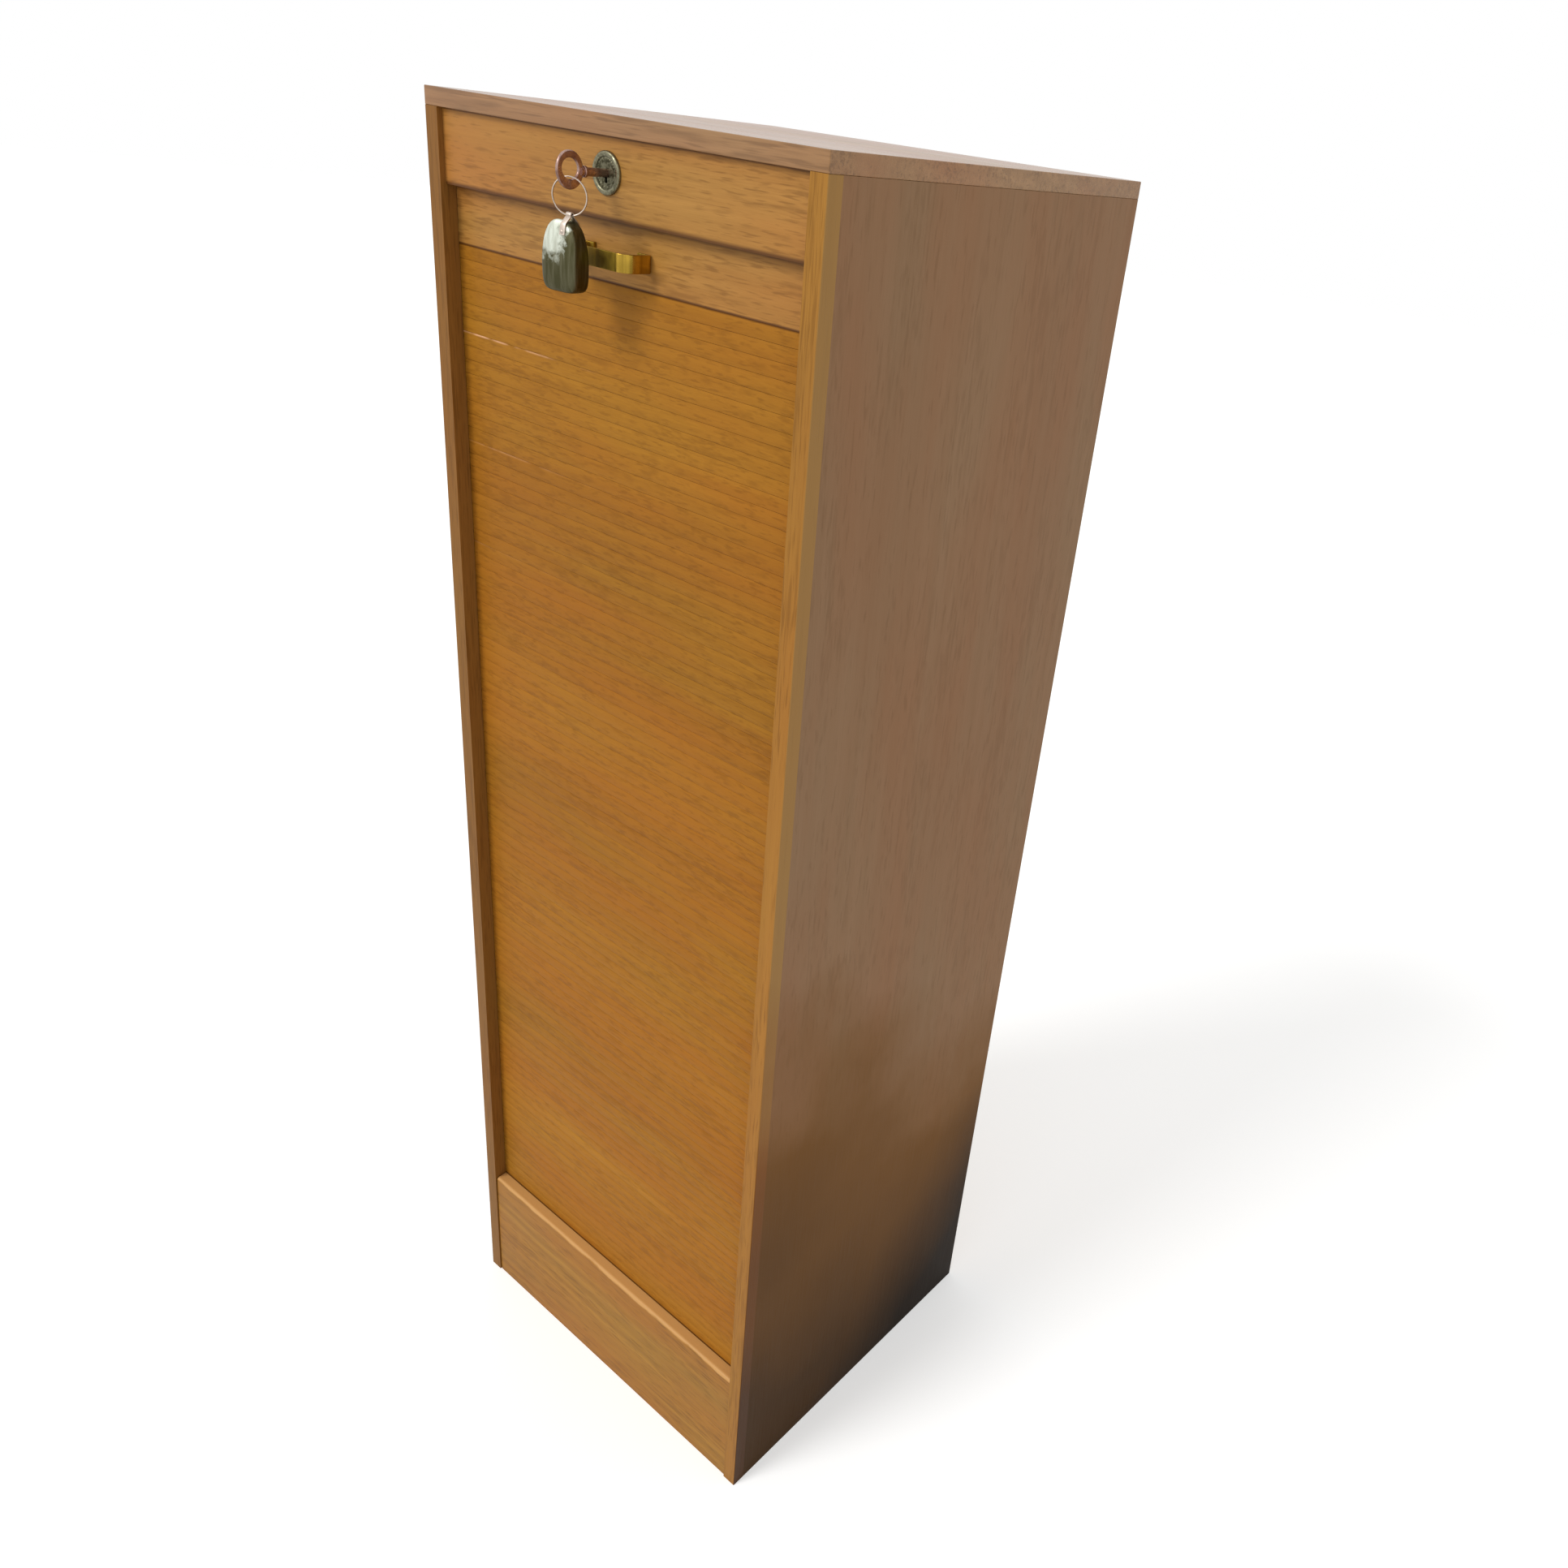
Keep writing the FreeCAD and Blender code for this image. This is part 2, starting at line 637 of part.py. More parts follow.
def lead_rail():
    """The rail at the head of the curtain, with a tongue in each groove."""
    half = inside - RAIL_SIDE_GAP
    body = box(-half, half, slat_face, rail_back, rail_bottom, rail_top)
    tongue = box(-slat_end, slat_end, slat_face, slat_back, rail_bottom, rail_top)
    rail = body.fuse(tongue).removeSplitter()
    slot_edge = canvas_edge + CANVAS_SLOT_PLAY
    slot_front = slat_back - CANVAS_SLOT_PLAY
    slot_back = canvas_back + CANVAS_SLOT_PLAY
    slot_top = rail_bottom + CANVAS_TUCK + CANVAS_SLOT_PLAY
    slot = box(-slot_edge, slot_edge, slot_front, slot_back, rail_bottom - CUT_SPARE, slot_top)
    pocket = mortise(-HOOK_CLAW_REACH - MORTISE_PLAY)
    cutters = [slot, strike_outline(rail_top + CUT_SPARE), pocket]
    cutters += hole_set((0, 0, -1), strike_screw_faces(), STRIKE_SCREW_LENGTH)
    for x in (-pull_screw_x, pull_screw_x):
        start = (x, slat_face - PULL_STRIP, pull_middle)
        cutters.append(rod(PULL_SCREW_DIAMETER / 2 + WOOD_SCREW_FIT, start, (0, 1, 0), DEPTH))
        sink = (x, rail_back - PULL_SCREW_SINK, pull_middle)
        cutters.append(rod(PULL_SCREW_HEAD / 2 + LOOP_FIT, sink, (0, 1, 0), DEPTH))
    return cut_all(rail, cutters)


def upright_rounded(x, y_front, y_back, front_radius, back_radius, z0, z1):
    """A block whose upright edges are rounded, front and back with their own radius."""
    turns = [
        (-x, y_front, front_radius, 180),
        (x, y_front, front_radius, 270),
        (x, y_back, back_radius, 0),
        (-x, y_back, back_radius, 90),
    ]
    edges = []
    last = None
    first = None
    for corner_x, corner_y, radius, start_angle in turns:
        centre_x = corner_x - math.copysign(radius, corner_x)
        centre_y = corner_y + radius if corner_y == y_front else corner_y - radius
        points = []
        for angle in (start_angle, start_angle + 45, start_angle + 90):
            turn = math.radians(angle)
            points.append(Vector(centre_x + radius * math.cos(turn), centre_y + radius * math.sin(turn), z0))
        if last is not None:
            edges.append(Part.makeLine(last, points[0]))
        else:
            first = points[0]
        edges.append(Part.Arc(*points).toShape())
        last = points[2]
    edges.append(Part.makeLine(last, first))
    return Part.Face(Part.Wire(edges)).extrude(Vector(0, 0, z1 - z0))


def pull():
    """A brass strip bent into a bow, its feet turned in on the face of the rail."""
    low = pull_middle - PULL_HEIGHT / 2
    high = pull_middle + PULL_HEIGHT / 2
    half = PULL_WIDTH / 2
    outside_form = upright_rounded(
        half, pull_front, slat_face, PULL_FRONT_RADIUS, PULL_FOOT_RADIUS, low, high)
    inside_form = upright_rounded(
        half - PULL_STRIP, pull_front + PULL_STRIP, slat_face - PULL_STRIP,
        PULL_FRONT_RADIUS - PULL_STRIP, PULL_FOOT_RADIUS - PULL_STRIP,
        low - CUT_SPARE, high + CUT_SPARE)
    foot_end = half - PULL_FOOT_LENGTH
    gap = box(-foot_end, foot_end, slat_face - 2 * PULL_STRIP, slat_face + CUT_SPARE, low - 1, high + 1)
    tapped = []
    for x in (-pull_screw_x, pull_screw_x):
        start = (x, slat_face - PULL_STRIP - CUT_SPARE, pull_middle)
        tapped.append(rod(PULL_SCREW_DIAMETER / 2 + WOOD_SCREW_FIT, start, (0, 1, 0), PULL_STRIP + 2))
    return cut_all(outside_form, [inside_form, gap] + tapped)


def pull_screws():
    """Two machine screws from the back of the rail into the feet of the pull."""
    solids = []
    head_start = rail_back - PULL_SCREW_SINK
    length = head_start - slat_face + PULL_STRIP
    for x in (-pull_screw_x, pull_screw_x):
        shank = rod(PULL_SCREW_DIAMETER / 2, (x, head_start, pull_middle), (0, -1, 0), length)
        head = rod(PULL_SCREW_HEAD / 2, (x, head_start, pull_middle), (0, 1, 0), PULL_SCREW_HEAD_HEIGHT)
        slot_back = head_start + PULL_SCREW_HEAD_HEIGHT
        slot = box(
            x - PULL_SCREW_HEAD, x + PULL_SCREW_HEAD, slot_back - SLOT_DEPTH, slot_back + CUT_SPARE,
            pull_middle - SLOT_WIDTH / 2, pull_middle + SLOT_WIDTH / 2)
        solids.append(shank.fuse(head).removeSplitter().cut(slot))
    return solids


def strike_outline(top):
    """The room that the strike plate fills in the top edge of the rail."""
    return box(
        strike_middle - STRIKE_LENGTH / 2, strike_middle + STRIKE_LENGTH / 2,
        hook_middle - STRIKE_WIDTH / 2, hook_middle + STRIKE_WIDTH / 2,
        rail_top - STRIKE_THICKNESS, top)


def mortise(left):
    """A pocket for the hook, from a left end to the place where the hook swings in."""
    y0 = hook_front - MORTISE_PLAY
    y1 = hook_back + MORTISE_PLAY
    return box(left, slot_right, y0, y1, rail_top - MORTISE_DEPTH, HEIGHT)


def strike_screw_faces():
    reach = STRIKE_SCREW_SPACING / 2
    return [(strike_middle + x, hook_middle, rail_top) for x in (-reach, reach)]


def strike_plate():
    screws = hole_set((0, 0, -1), strike_screw_faces(), STRIKE_SCREW_LENGTH)
    return cut_all(strike_outline(rail_top), [mortise(slot_left)] + screws)


def lock_collar():
    """The flanged sleeve that lines the hole in the fascia."""
    axis = (0, 1, 0)
    flange = rod(COLLAR_DIAMETER / 2, (0, collar_face, lock_height), axis, COLLAR_PROUD)
    flange = flange.makeFillet(ARRIS, [flange.Edges[i] for i in front_circles(flange)])
    dish = rod(COLLAR_DISH_DIAMETER / 2, (0, collar_face, lock_height), axis, COLLAR_DISH_DEPTH)
    barrel = rod(BARREL_DIAMETER / 2, (0, fascia_face, lock_height), axis, FASCIA_THICKNESS)
    bore = rod(PLUG_DIAMETER / 2 + LOCK_FIT, (0, front - DEPTH, lock_height), axis, 2 * DEPTH)
    return flange.fuse(barrel).removeSplitter().cut(dish).cut(bore)


def front_circles(cylinder):
    """Places in Edges of the circle at the front end of a bar along Y."""
    lowest = cylinder.BoundBox.YMin
    found = []
    for place, edge in enumerate(cylinder.Edges):
        if near(edge.BoundBox.YMin, lowest) and near(edge.BoundBox.YMax, lowest):
            found.append(place)
    return found


def hook_spigot(spare, length):
    """The square end of the plug, which turns the hook."""
    half = HOOK_SPIGOT / 2 + spare
    return box(-half, half, hook_front, hook_front + length, lock_height - half, lock_height + half)


def lock_plug():
    """The turning cylinder with its keyway in front and the square end behind."""
    body = rod(PLUG_DIAMETER / 2, (0, plug_face, lock_height), (0, 1, 0), hook_front - plug_face)
    square = hook_spigot(0.0, HOOK_THICKNESS - HOOK_GAP)
    keyhole = key_blade(LOCK_FIT, CUT_SPARE)
    radius = HOOK_SCREW_DIAMETER / 2 + WOOD_SCREW_FIT
    tapped = rod(radius, (0, hook_back, lock_height), (0, -1, 0), HOOK_SCREW_LENGTH + WOOD_SCREW_FIT)
    return body.fuse(square).removeSplitter().cut(keyhole).cut(tapped)


def lock_hook():
    """The flat hook behind the plug. It is drawn locked, then turned back to the open pose."""
    def disc(radius):
        return rod(radius, (0, hook_front, lock_height), (0, 1, 0), HOOK_THICKNESS)

    half = HOOK_ARM_WIDTH / 2
    lower = lock_height - hook_reach
    arm = box(-half, half, hook_front, hook_back, lower, lock_height).common(disc(hook_reach))
    claw = box(-HOOK_CLAW_REACH, 0, hook_front, hook_back, lower, lock_height)
    claw = claw.common(disc(hook_reach)).cut(disc(hook_reach - HOOK_CLAW_WIDTH))
    hook = disc(HOOK_HEAD_DIAMETER / 2).fuse([arm, claw]).removeSplitter()
    hook = hook.cut(hook_spigot(LOCK_FIT, HOOK_THICKNESS))
    return hook.rotated(Vector(0, 0, lock_height), Vector(0, 1, 0), -90)


def hook_screw():
    """The screw that holds the hook on the plug."""
    start = (0, hook_back, lock_height)
    shank = rod(HOOK_SCREW_DIAMETER / 2, start, (0, -1, 0), HOOK_SCREW_LENGTH)
    head = rod(HOOK_SCREW_HEAD / 2, start, (0, 1, 0), HOOK_SCREW_HEAD_HEIGHT)
    head_back = hook_back + HOOK_SCREW_HEAD_HEIGHT
    slot = box(
        -HOOK_SCREW_HEAD, HOOK_SCREW_HEAD, head_back - SLOT_DEPTH, head_back + CUT_SPARE,
        lock_height - SLOT_WIDTH / 2, lock_height + SLOT_WIDTH / 2)
    return shank.fuse(head).removeSplitter().cut(slot)


def key_blade(spare, spare_front=0.0):
    """The part of the key inside the plug: a round shank and the bit below it."""
    depth = KEY_DEPTH_IN_PLUG + spare
    start = plug_face - spare_front
    shank = rod(KEY_SHANK_DIAMETER / 2 + spare, (0, start, lock_height), (0, 1, 0), depth + spare_front)
    half = KEY_PLATE / 2 + spare
    bit_front = plug_face + KEY_DEPTH_IN_PLUG - KEY_BIT_LENGTH
    if spare > 0:
        bit_front = start
    bit_low = lock_height - KEY_BIT_DROP - spare
    bit = box(-half, half, bit_front, plug_face + depth, bit_low, lock_height)
    return shank.fuse(bit).removeSplitter()


def key():
    """Bow, neck, shank and bit in one."""
    bow_height = lock_height + KEY_BOW_RISE
    middle = Vector(-KEY_PLATE / 2, bow_y, bow_height)
    long_end = middle + Vector(0, 0, KEY_BOW_HEIGHT / 2)
    short_end = middle + Vector(0, KEY_BOW_WIDTH / 2, 0)
    outline = Part.Ellipse(long_end, short_end, middle).toShape()
    bow = Part.Face(Part.Wire([outline])).extrude(Vector(KEY_PLATE, 0, 0))
    bow = bow.cut(rod(KEY_HOLE_DIAMETER / 2, (-KEY_PLATE, bow_y, key_hole_height), (1, 0, 0), 2 * KEY_PLATE))
    bow = bow.makeFillet(KEY_ROUND, round_bow_edges(bow))
    shank_start = bow_y + KEY_BOW_WIDTH / 2 - KEY_NECK_LENGTH
    shank = rod(KEY_SHANK_DIAMETER / 2, (0, shank_start, lock_height), (0, 1, 0), plug_face - shank_start)
    neck_start = shank_start + KEY_NECK_LENGTH
    neck = rod(KEY_NECK_DIAMETER / 2, (0, neck_start, lock_height), (0, 1, 0), KEY_NECK_LENGTH)
    return bow.fuse([shank, neck, key_blade(0.0)]).removeSplitter()


def round_bow_edges(bow):
    """The outline edges of the bow, on both of its flat faces."""
    return [edge for edge in bow.Edges if near(edge.BoundBox.XLength, 0)]


def lock_plate():
    """The plate behind the fascia that holds the collar and lets the plug through."""
    half = LOCK_PLATE_WIDTH / 2
    top = lock_plate_bottom + LOCK_PLATE_HEIGHT
    plate = box(-half, half, fascia_back, lock_plate_back, lock_plate_bottom, top)
    plug_room = rod(PLUG_DIAMETER / 2 + LOCK_FIT, (0, fascia_face, lock_height), (0, 1, 0), DEPTH)
    screws = hole_set((0, -1, 0), lock_screw_faces(), LOCK_SCREW_LENGTH)
    return cut_all(plate, [plug_room] + screws)


def lock_screw_faces():
    """Four screws through the corners of the lock plate into the fascia."""
    x = LOCK_PLATE_WIDTH / 2 - WOOD_SCREW_HEAD
    low = lock_plate_bottom + WOOD_SCREW_HEAD
    high = lock_plate_bottom + LOCK_PLATE_HEIGHT - WOOD_SCREW_HEAD
    return [(sign * x, lock_plate_back, height) for sign in (-1, 1) for height in (low, high)]


def split_ring():
    ring = Part.makeTorus(RING_RADIUS, RING_WIRE / 2, Vector(0, ring_y, ring_height), Vector(0, 1, 0))
    return ring.rotated(Vector(0, ring_y, 0), Vector(0, 0, 1), RING_TURN)


def hung(shape):
    """Turn what hangs on the ring about the upright through its lowest point."""
    return shape.rotated(Vector(0, ring_y, 0), Vector(0, 0, 1), FOB_TURN)


def fob_loop():
    """The metal loop round the split ring, with the stem that holds it in the fob."""
    start = (-LOOP_WIDTH / 2, ring_y, loop_height)
    tube = rod(loop_outer, start, (1, 0, 0), LOOP_WIDTH)
    stem = fob_stem(0.0)
    hole = rod(loop_inner, (-LOOP_WIDTH, ring_y, loop_height), (1, 0, 0), 2 * LOOP_WIDTH)
    return hung(tube.fuse(stem).removeSplitter().cut(hole))


def fob_stem(spare):
    half_width = LOOP_WIDTH / 2 + spare
    half_depth = LOOP_STEM / 2 + spare
    top = loop_height - loop_inner
    low = fob_top - LOOP_STEM_LENGTH - spare
    return box(-half_width, half_width, ring_y - half_depth, ring_y + half_depth, low, top)


def fob():
    """A thick pendant with an arched top, bulging sides and rounded edges, hung a little aside of its loop."""
    half = FOB_WIDTH / 2
    y0 = ring_y - FOB_THICKNESS / 2
    bottom = fob_top - FOB_HEIGHT
    widest = bottom + FOB_WIDEST
    arch_height = fob_top - FOB_ARCH
    rise = arch_height - widest
    side_radius = (half ** 2 + rise ** 2 - FOB_ARCH ** 2) / (2 * (half - FOB_ARCH))
    side_centre = Vector(half - side_radius, y0, widest)
    arch_centre = Vector(0, y0, arch_height)
    drop = FOB_WIDEST - FOB_CORNER
    foot = side_centre.x + math.sqrt((side_radius - FOB_CORNER) ** 2 - drop ** 2)
    corner_centre = Vector(foot, y0, bottom + FOB_CORNER)
    shoulder = touching(side_centre, arch_centre, FOB_ARCH)
    cheek = touching(side_centre, corner_centre, FOB_CORNER)
    turn = math.radians(-45)
    in_corner = corner_centre + Vector(math.cos(turn), 0, math.sin(turn)) * FOB_CORNER
    right = [
        Part.Arc(Vector(foot, y0, bottom), in_corner, cheek).toShape(),
        Part.Arc(cheek, Vector(half, y0, widest), shoulder).toShape(),
    ]
    arch = Part.Arc(shoulder, Vector(0, y0, fob_top), Vector(-shoulder.x, y0, shoulder.z)).toShape()
    base = Part.makeLine(Vector(-foot, y0, bottom), Vector(foot, y0, bottom))
    edges = [base] + right + [arch] + [mirrored(edge) for edge in reversed(right)]
    body = Part.Face(Part.Wire(edges)).extrude(Vector(0, FOB_THICKNESS, 0))
    body = body.makeFillet(FOB_ROUND, [edge for edge in body.Edges if near(edge.BoundBox.YLength, 0)])
    body = body.translated(Vector(-FOB_ASIDE, 0, 0))
    return hung(body.cut(fob_stem(LOOP_FIT)))


def touching(outer_centre, inner_centre, inner_radius):
    """Where a circle touches the larger circle round it."""
    return inner_centre + (inner_centre - outer_centre).normalize() * inner_radius


def cleats():
    """The strips on the right side that carry the trays."""
    holes = hole_set((1, 0, 0), cleat_screw_faces(), CLEAT_SCREW_LENGTH)
    solids = []
    for height in tray_heights():
        strip = box(inside - CLEAT_SIZE, inside, cleat_front, cleat_back, height - CLEAT_SIZE, height)
        solids.append(cut_all(strip, holes))
    return solids


def tray_bottom_edges(spare):
    """How far the bottom of a tray reaches into the grooves round it."""
    wall_inside = tray_half - TRAY_WALL_THICKNESS
    half = wall_inside + TRAY_GROOVE_DEPTH + spare
    y0 = tray_front + TRAY_FRONT_THICKNESS - TRAY_GROOVE_DEPTH - spare
    y1 = tray_back - TRAY_WALL_THICKNESS + TRAY_GROOVE_DEPTH + spare
    z0 = TRAY_BOTTOM_RISE - spare
    z1 = TRAY_BOTTOM_RISE + TRAY_BOTTOM_THICKNESS + spare
    return box(-half, half, y0, y1, z0, z1)


def tray_bottom():
    return tray_bottom_edges(0.0)


def tray_front_board():
    """The front of a tray at the height 0, with a half-round finger notch."""
    board = box(-tray_half, tray_half, tray_front, tray_front + TRAY_FRONT_THICKNESS, 0, TRAY_FRONT_HEIGHT)
    notch = rod(TRAY_NOTCH_RADIUS, (0, front, TRAY_FRONT_HEIGHT), (0, 1, 0), DEPTH)
    return cut_all(board, [notch, tray_bottom_edges(TRAY_GROOVE_PLAY)])


def tray_walls():
    """Left, right and back walls of a tray at the height 0."""
    y0 = tray_front + TRAY_FRONT_THICKNESS
    y1 = tray_back
    wall_inside = tray_half - TRAY_WALL_THICKNESS
    groove = tray_bottom_edges(TRAY_GROOVE_PLAY)
    right = box(wall_inside, tray_half, y0, y1, 0, TRAY_WALL_HEIGHT).cut(groove)
    back_wall = box(-wall_inside, wall_inside, y1 - TRAY_WALL_THICKNESS, y1, 0, TRAY_WALL_HEIGHT)
    return [right, mirrored(right), back_wall.cut(groove)]


def raised(shapes, height):
    return [shape.translated(Vector(0, 0, height)) for shape in shapes]


def build():
    os.makedirs("parts", exist_ok=True)
    save("side_right", side_board())
    save("side_left", mirrored(side_board()))
    save("front_lipping_right", front_lipping())
    save("front_lipping_left", mirrored(front_lipping()))
    save("back_lipping_right", back_lipping())
    save("back_lipping_left", mirrored(back_lipping()))
    save("top_panel", top_panel())
    save("fascia", fascia())
    save("plinth", plinth())
    save("base_board", base_board())
    front_batten = batten(track_front_wall, track_front_wall + BATTEN_DEPTH)
    rear_batten = batten(back_panel_face - BATTEN_DEPTH, back_panel_face)
    save("base_battens", [front_batten, rear_batten])
    save("carcass_floor", carcass_floor())
    save("floor_bearers", both_sides(floor_bearer()))
    save("inner_back", inner_back())
    save("back_panel", back_panel())
    save("back_panel_screws", screw_set((0, -1, 0), back_screw_faces(), BACK_SCREW_LENGTH))
    save("carcass_dowels", dowels())
    save("tambour_slats", front_curtain())
    save("tambour_canvas", front_canvas())
    save("tail_slats", tail_curtain())
    save("tail_canvas", tail_canvas())
    save("lead_rail", lead_rail())
    save("pull_handle", pull())
    strike_screws = screw_set((0, 0, -1), strike_screw_faces(), STRIKE_SCREW_LENGTH)
    save("rail_screws", pull_screws() + strike_screws)
    save("strike_plate", strike_plate())
    save("lock_collar", lock_collar())
    save("lock_plug", lock_plug())
    save("lock_plate", lock_plate())
    save("lock_hook", lock_hook())
    save("hook_screw", hook_screw())
    save("key", key())
    save("split_ring", split_ring())
    save("fob_loop", fob_loop())
    save("fob", fob())
    right_cleats = cleats()
    save("tray_cleats", right_cleats + [mirrored(strip) for strip in right_cleats])
    side_screws = screw_set((1, 0, 0), cleat_screw_faces(), CLEAT_SCREW_LENGTH)
    side_screws += screw_set((1, 0, 0), bearer_screw_faces(), BEARER_SCREW_LENGTH)
    lock_screws = screw_set((0, -1, 0), lock_screw_faces(), LOCK_SCREW_LENGTH)
    save("carcass_screws", side_screws + [mirrored(s) for s in side_screws] + lock_screws)
    for number, height in enumerate(tray_heights(), start=1):
        name = "tray_" + str(number)
        save(name + "_front", raised([tray_front_board()], height))
        save(name + "_walls", raised(tray_walls(), height))
        save(name + "_bottom", raised([tray_bottom()], height))
    print("rail travel", rail_travel, "front slats", front_slats, "run end", front_run_end)


build()
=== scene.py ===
import math

import bmesh
import bpy
from mathutils import Matrix, Vector


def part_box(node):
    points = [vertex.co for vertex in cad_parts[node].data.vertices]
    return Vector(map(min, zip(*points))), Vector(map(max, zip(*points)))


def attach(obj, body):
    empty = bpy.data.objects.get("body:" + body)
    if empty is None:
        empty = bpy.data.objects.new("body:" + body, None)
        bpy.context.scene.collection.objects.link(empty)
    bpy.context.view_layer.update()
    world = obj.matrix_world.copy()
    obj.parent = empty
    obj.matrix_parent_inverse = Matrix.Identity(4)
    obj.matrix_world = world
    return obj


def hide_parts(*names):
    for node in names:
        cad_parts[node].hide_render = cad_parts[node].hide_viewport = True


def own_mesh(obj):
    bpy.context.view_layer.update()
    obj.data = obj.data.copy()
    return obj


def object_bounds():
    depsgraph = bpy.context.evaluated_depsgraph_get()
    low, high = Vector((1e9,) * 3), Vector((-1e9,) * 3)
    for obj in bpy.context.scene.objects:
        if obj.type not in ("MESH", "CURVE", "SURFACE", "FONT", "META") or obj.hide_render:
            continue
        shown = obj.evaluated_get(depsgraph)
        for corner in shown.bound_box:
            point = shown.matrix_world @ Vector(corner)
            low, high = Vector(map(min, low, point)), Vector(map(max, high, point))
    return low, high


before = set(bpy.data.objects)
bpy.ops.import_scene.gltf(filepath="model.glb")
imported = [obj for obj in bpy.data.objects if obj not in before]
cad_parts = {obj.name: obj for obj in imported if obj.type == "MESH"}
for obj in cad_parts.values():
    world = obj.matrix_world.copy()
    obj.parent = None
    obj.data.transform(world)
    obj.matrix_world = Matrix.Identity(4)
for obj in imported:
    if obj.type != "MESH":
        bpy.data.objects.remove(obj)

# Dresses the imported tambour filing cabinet. Oak finishes go on its boards, Geometry Nodes
# make the slats and the screws, and the pull, the lock, the key, its ring and its fob get
# pieces of their own. Metres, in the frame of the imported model: X to the right seen from
# the front, Y to the back, Z up.

bl_info = {
    "name": "Tambour Filing Cabinet",
    "version": (1, 0, 0),
    "blender": (4, 5, 0),
    "location": "View3D > Sidebar > Cabinet",
    "description": "Finishes, slats, fittings and studio for an oak filing cabinet",
    "category": "Object",
}

MM = 0.001
CAD_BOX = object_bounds()

# Places that the pieces share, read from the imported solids
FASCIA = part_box("fascia")
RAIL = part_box("lead_rail")
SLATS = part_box("tambour_slats")
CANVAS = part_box("tambour_canvas")
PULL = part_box("pull_handle")
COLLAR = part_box("lock_collar")
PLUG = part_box("lock_plug")
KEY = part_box("key")
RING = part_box("split_ring")
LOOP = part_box("fob_loop")
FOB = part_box("fob")
BACK_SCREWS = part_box("back_panel_screws")
PLINTH_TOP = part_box("plinth")[1].z
LOCK_HEIGHT = (COLLAR[0].z + COLLAR[1].z) / 2
RING_TURN = math.radians(30)
SCREW_SEED = 4

# The grain of a wood runs along the X of its pattern. Each turn brings a board's own
# length onto that axis.
GRAIN_TURN = {
    "X": (0, 0, 0),
    "Y": (0, 0, math.radians(-90)),
    "Z": (0, math.radians(90), 0),
}


class Graph:
    """Writes nodes into a tree, one call for each, and hands back the socket that is used."""

    def __init__(self, tree):
        self.tree = tree

    def add(self, kind, inputs=None, output=0, **settings):
        """Writes a node, links the inputs that are sockets and sets the others."""
        node = self.tree.nodes.new(kind)
        row, column = divmod(len(self.tree.nodes), 12)
        node.location = (220 * column, -260 * row)
        for name, value in settings.items():
            setattr(node, name, value)
        for name, value in (inputs or {}).items():
            if isinstance(value, bpy.types.NodeSocket):
                self.tree.links.new(value, node.inputs[name])
            else:
                node.inputs[name].default_value = value
        return node.outputs[output] if node.outputs else None

    def math(self, operation, a, b=0.0):
        return self.add("ShaderNodeMath", {0: a, 1: b}, operation=operation)

    def plus(self, a, b):
        return self.math("ADD", a, b)

    def minus(self, a, b):
        return self.math("SUBTRACT", a, b)

    def times(self, a, b):
        return self.math("MULTIPLY", a, b)

    def place(self):
        """Where a point lies on its own object, which is its place in the frame."""
        return self.add("ShaderNodeTexCoord", output="Object")

    def axis(self, place, name):
        return self.add("ShaderNodeSeparateXYZ", {"Vector": place}, output=name)

    def vector(self, **parts):
        """A vector from the parts X, Y and Z that are given, with the rest left at zero."""
        return self.add("ShaderNodeCombineXYZ", parts)

    def stored(self, name):
        """A value that a node tree has kept on the geometry."""
        return self.add("ShaderNodeAttribute", output="Fac", attribute_name=name)

    def bump(self, height, strength, distance):
        inputs = {"Height": height, "Strength": strength, "Distance": distance}
        return self.add("ShaderNodeBump", inputs)

    def remap(self, value, low, high, to_low, to_high):
        """Carries low and high to two other values, and holds what lies past them."""
        names = ("Value", "From Min", "From Max", "To Min", "To Max")
        values = (value, low, high, to_low, to_high)
        return self.add("ShaderNodeMapRange", dict(zip(names, values)))

    def mix(self, factor, a, b):
        """The colour a where the factor is 0, and b where it is 1."""
        inputs = {0: factor, 6: a, 7: b}
        return self.add("ShaderNodeMix", inputs, output=2, data_type="RGBA")

    def random(self, low, high, seed, number):
        """A random value that stays the same for the same seed and number."""
        inputs = {2: low, 3: high, "Seed": seed, "ID": number}
        return self.add("FunctionNodeRandomValue", inputs, output=1, data_type="FLOAT")

    def store(self, geometry, name, value, domain):
        """Keeps a value on the geometry, for the materials to read."""
        inputs = {"Geometry": geometry, "Name": name, "Value": value}
        return self.add(
            "GeometryNodeStoreNamedAttribute", inputs, domain=domain, data_type="FLOAT")

    def stretched(self, place, scale, detail=2.0, roughness=0.5, shift=(0, 0, 0)):
        """Noise drawn out along the axes by the scale, which is in cycles to a metre."""
        inputs = {"Vector": place, "Scale": scale, "Location": shift}
        spread = self.add("ShaderNodeMapping", inputs)
        inputs = {"Vector": spread, "Scale": 1.0, "Detail": detail, "Roughness": roughness}
        return self.add("ShaderNodeTexNoise", inputs)

    def weigh(self, *layers):
        """Adds up layers that centre on a half, each with the weight beside it."""
        total = None
        for layer, weight in layers:
            part = self.times(self.minus(layer, 0.5), weight)
            total = part if total is None else self.plus(total, part)
        return total


def linear(colour):
    """A colour as it shows on screen, turned into the light values that shaders take."""
    values = []
    for value in colour[:3]:
        if value <= 0.04045:
            values.append(value / 12.92)
        else:
            values.append(((value + 0.055) / 1.055) ** 2.4)
    return (*values, 1.0)


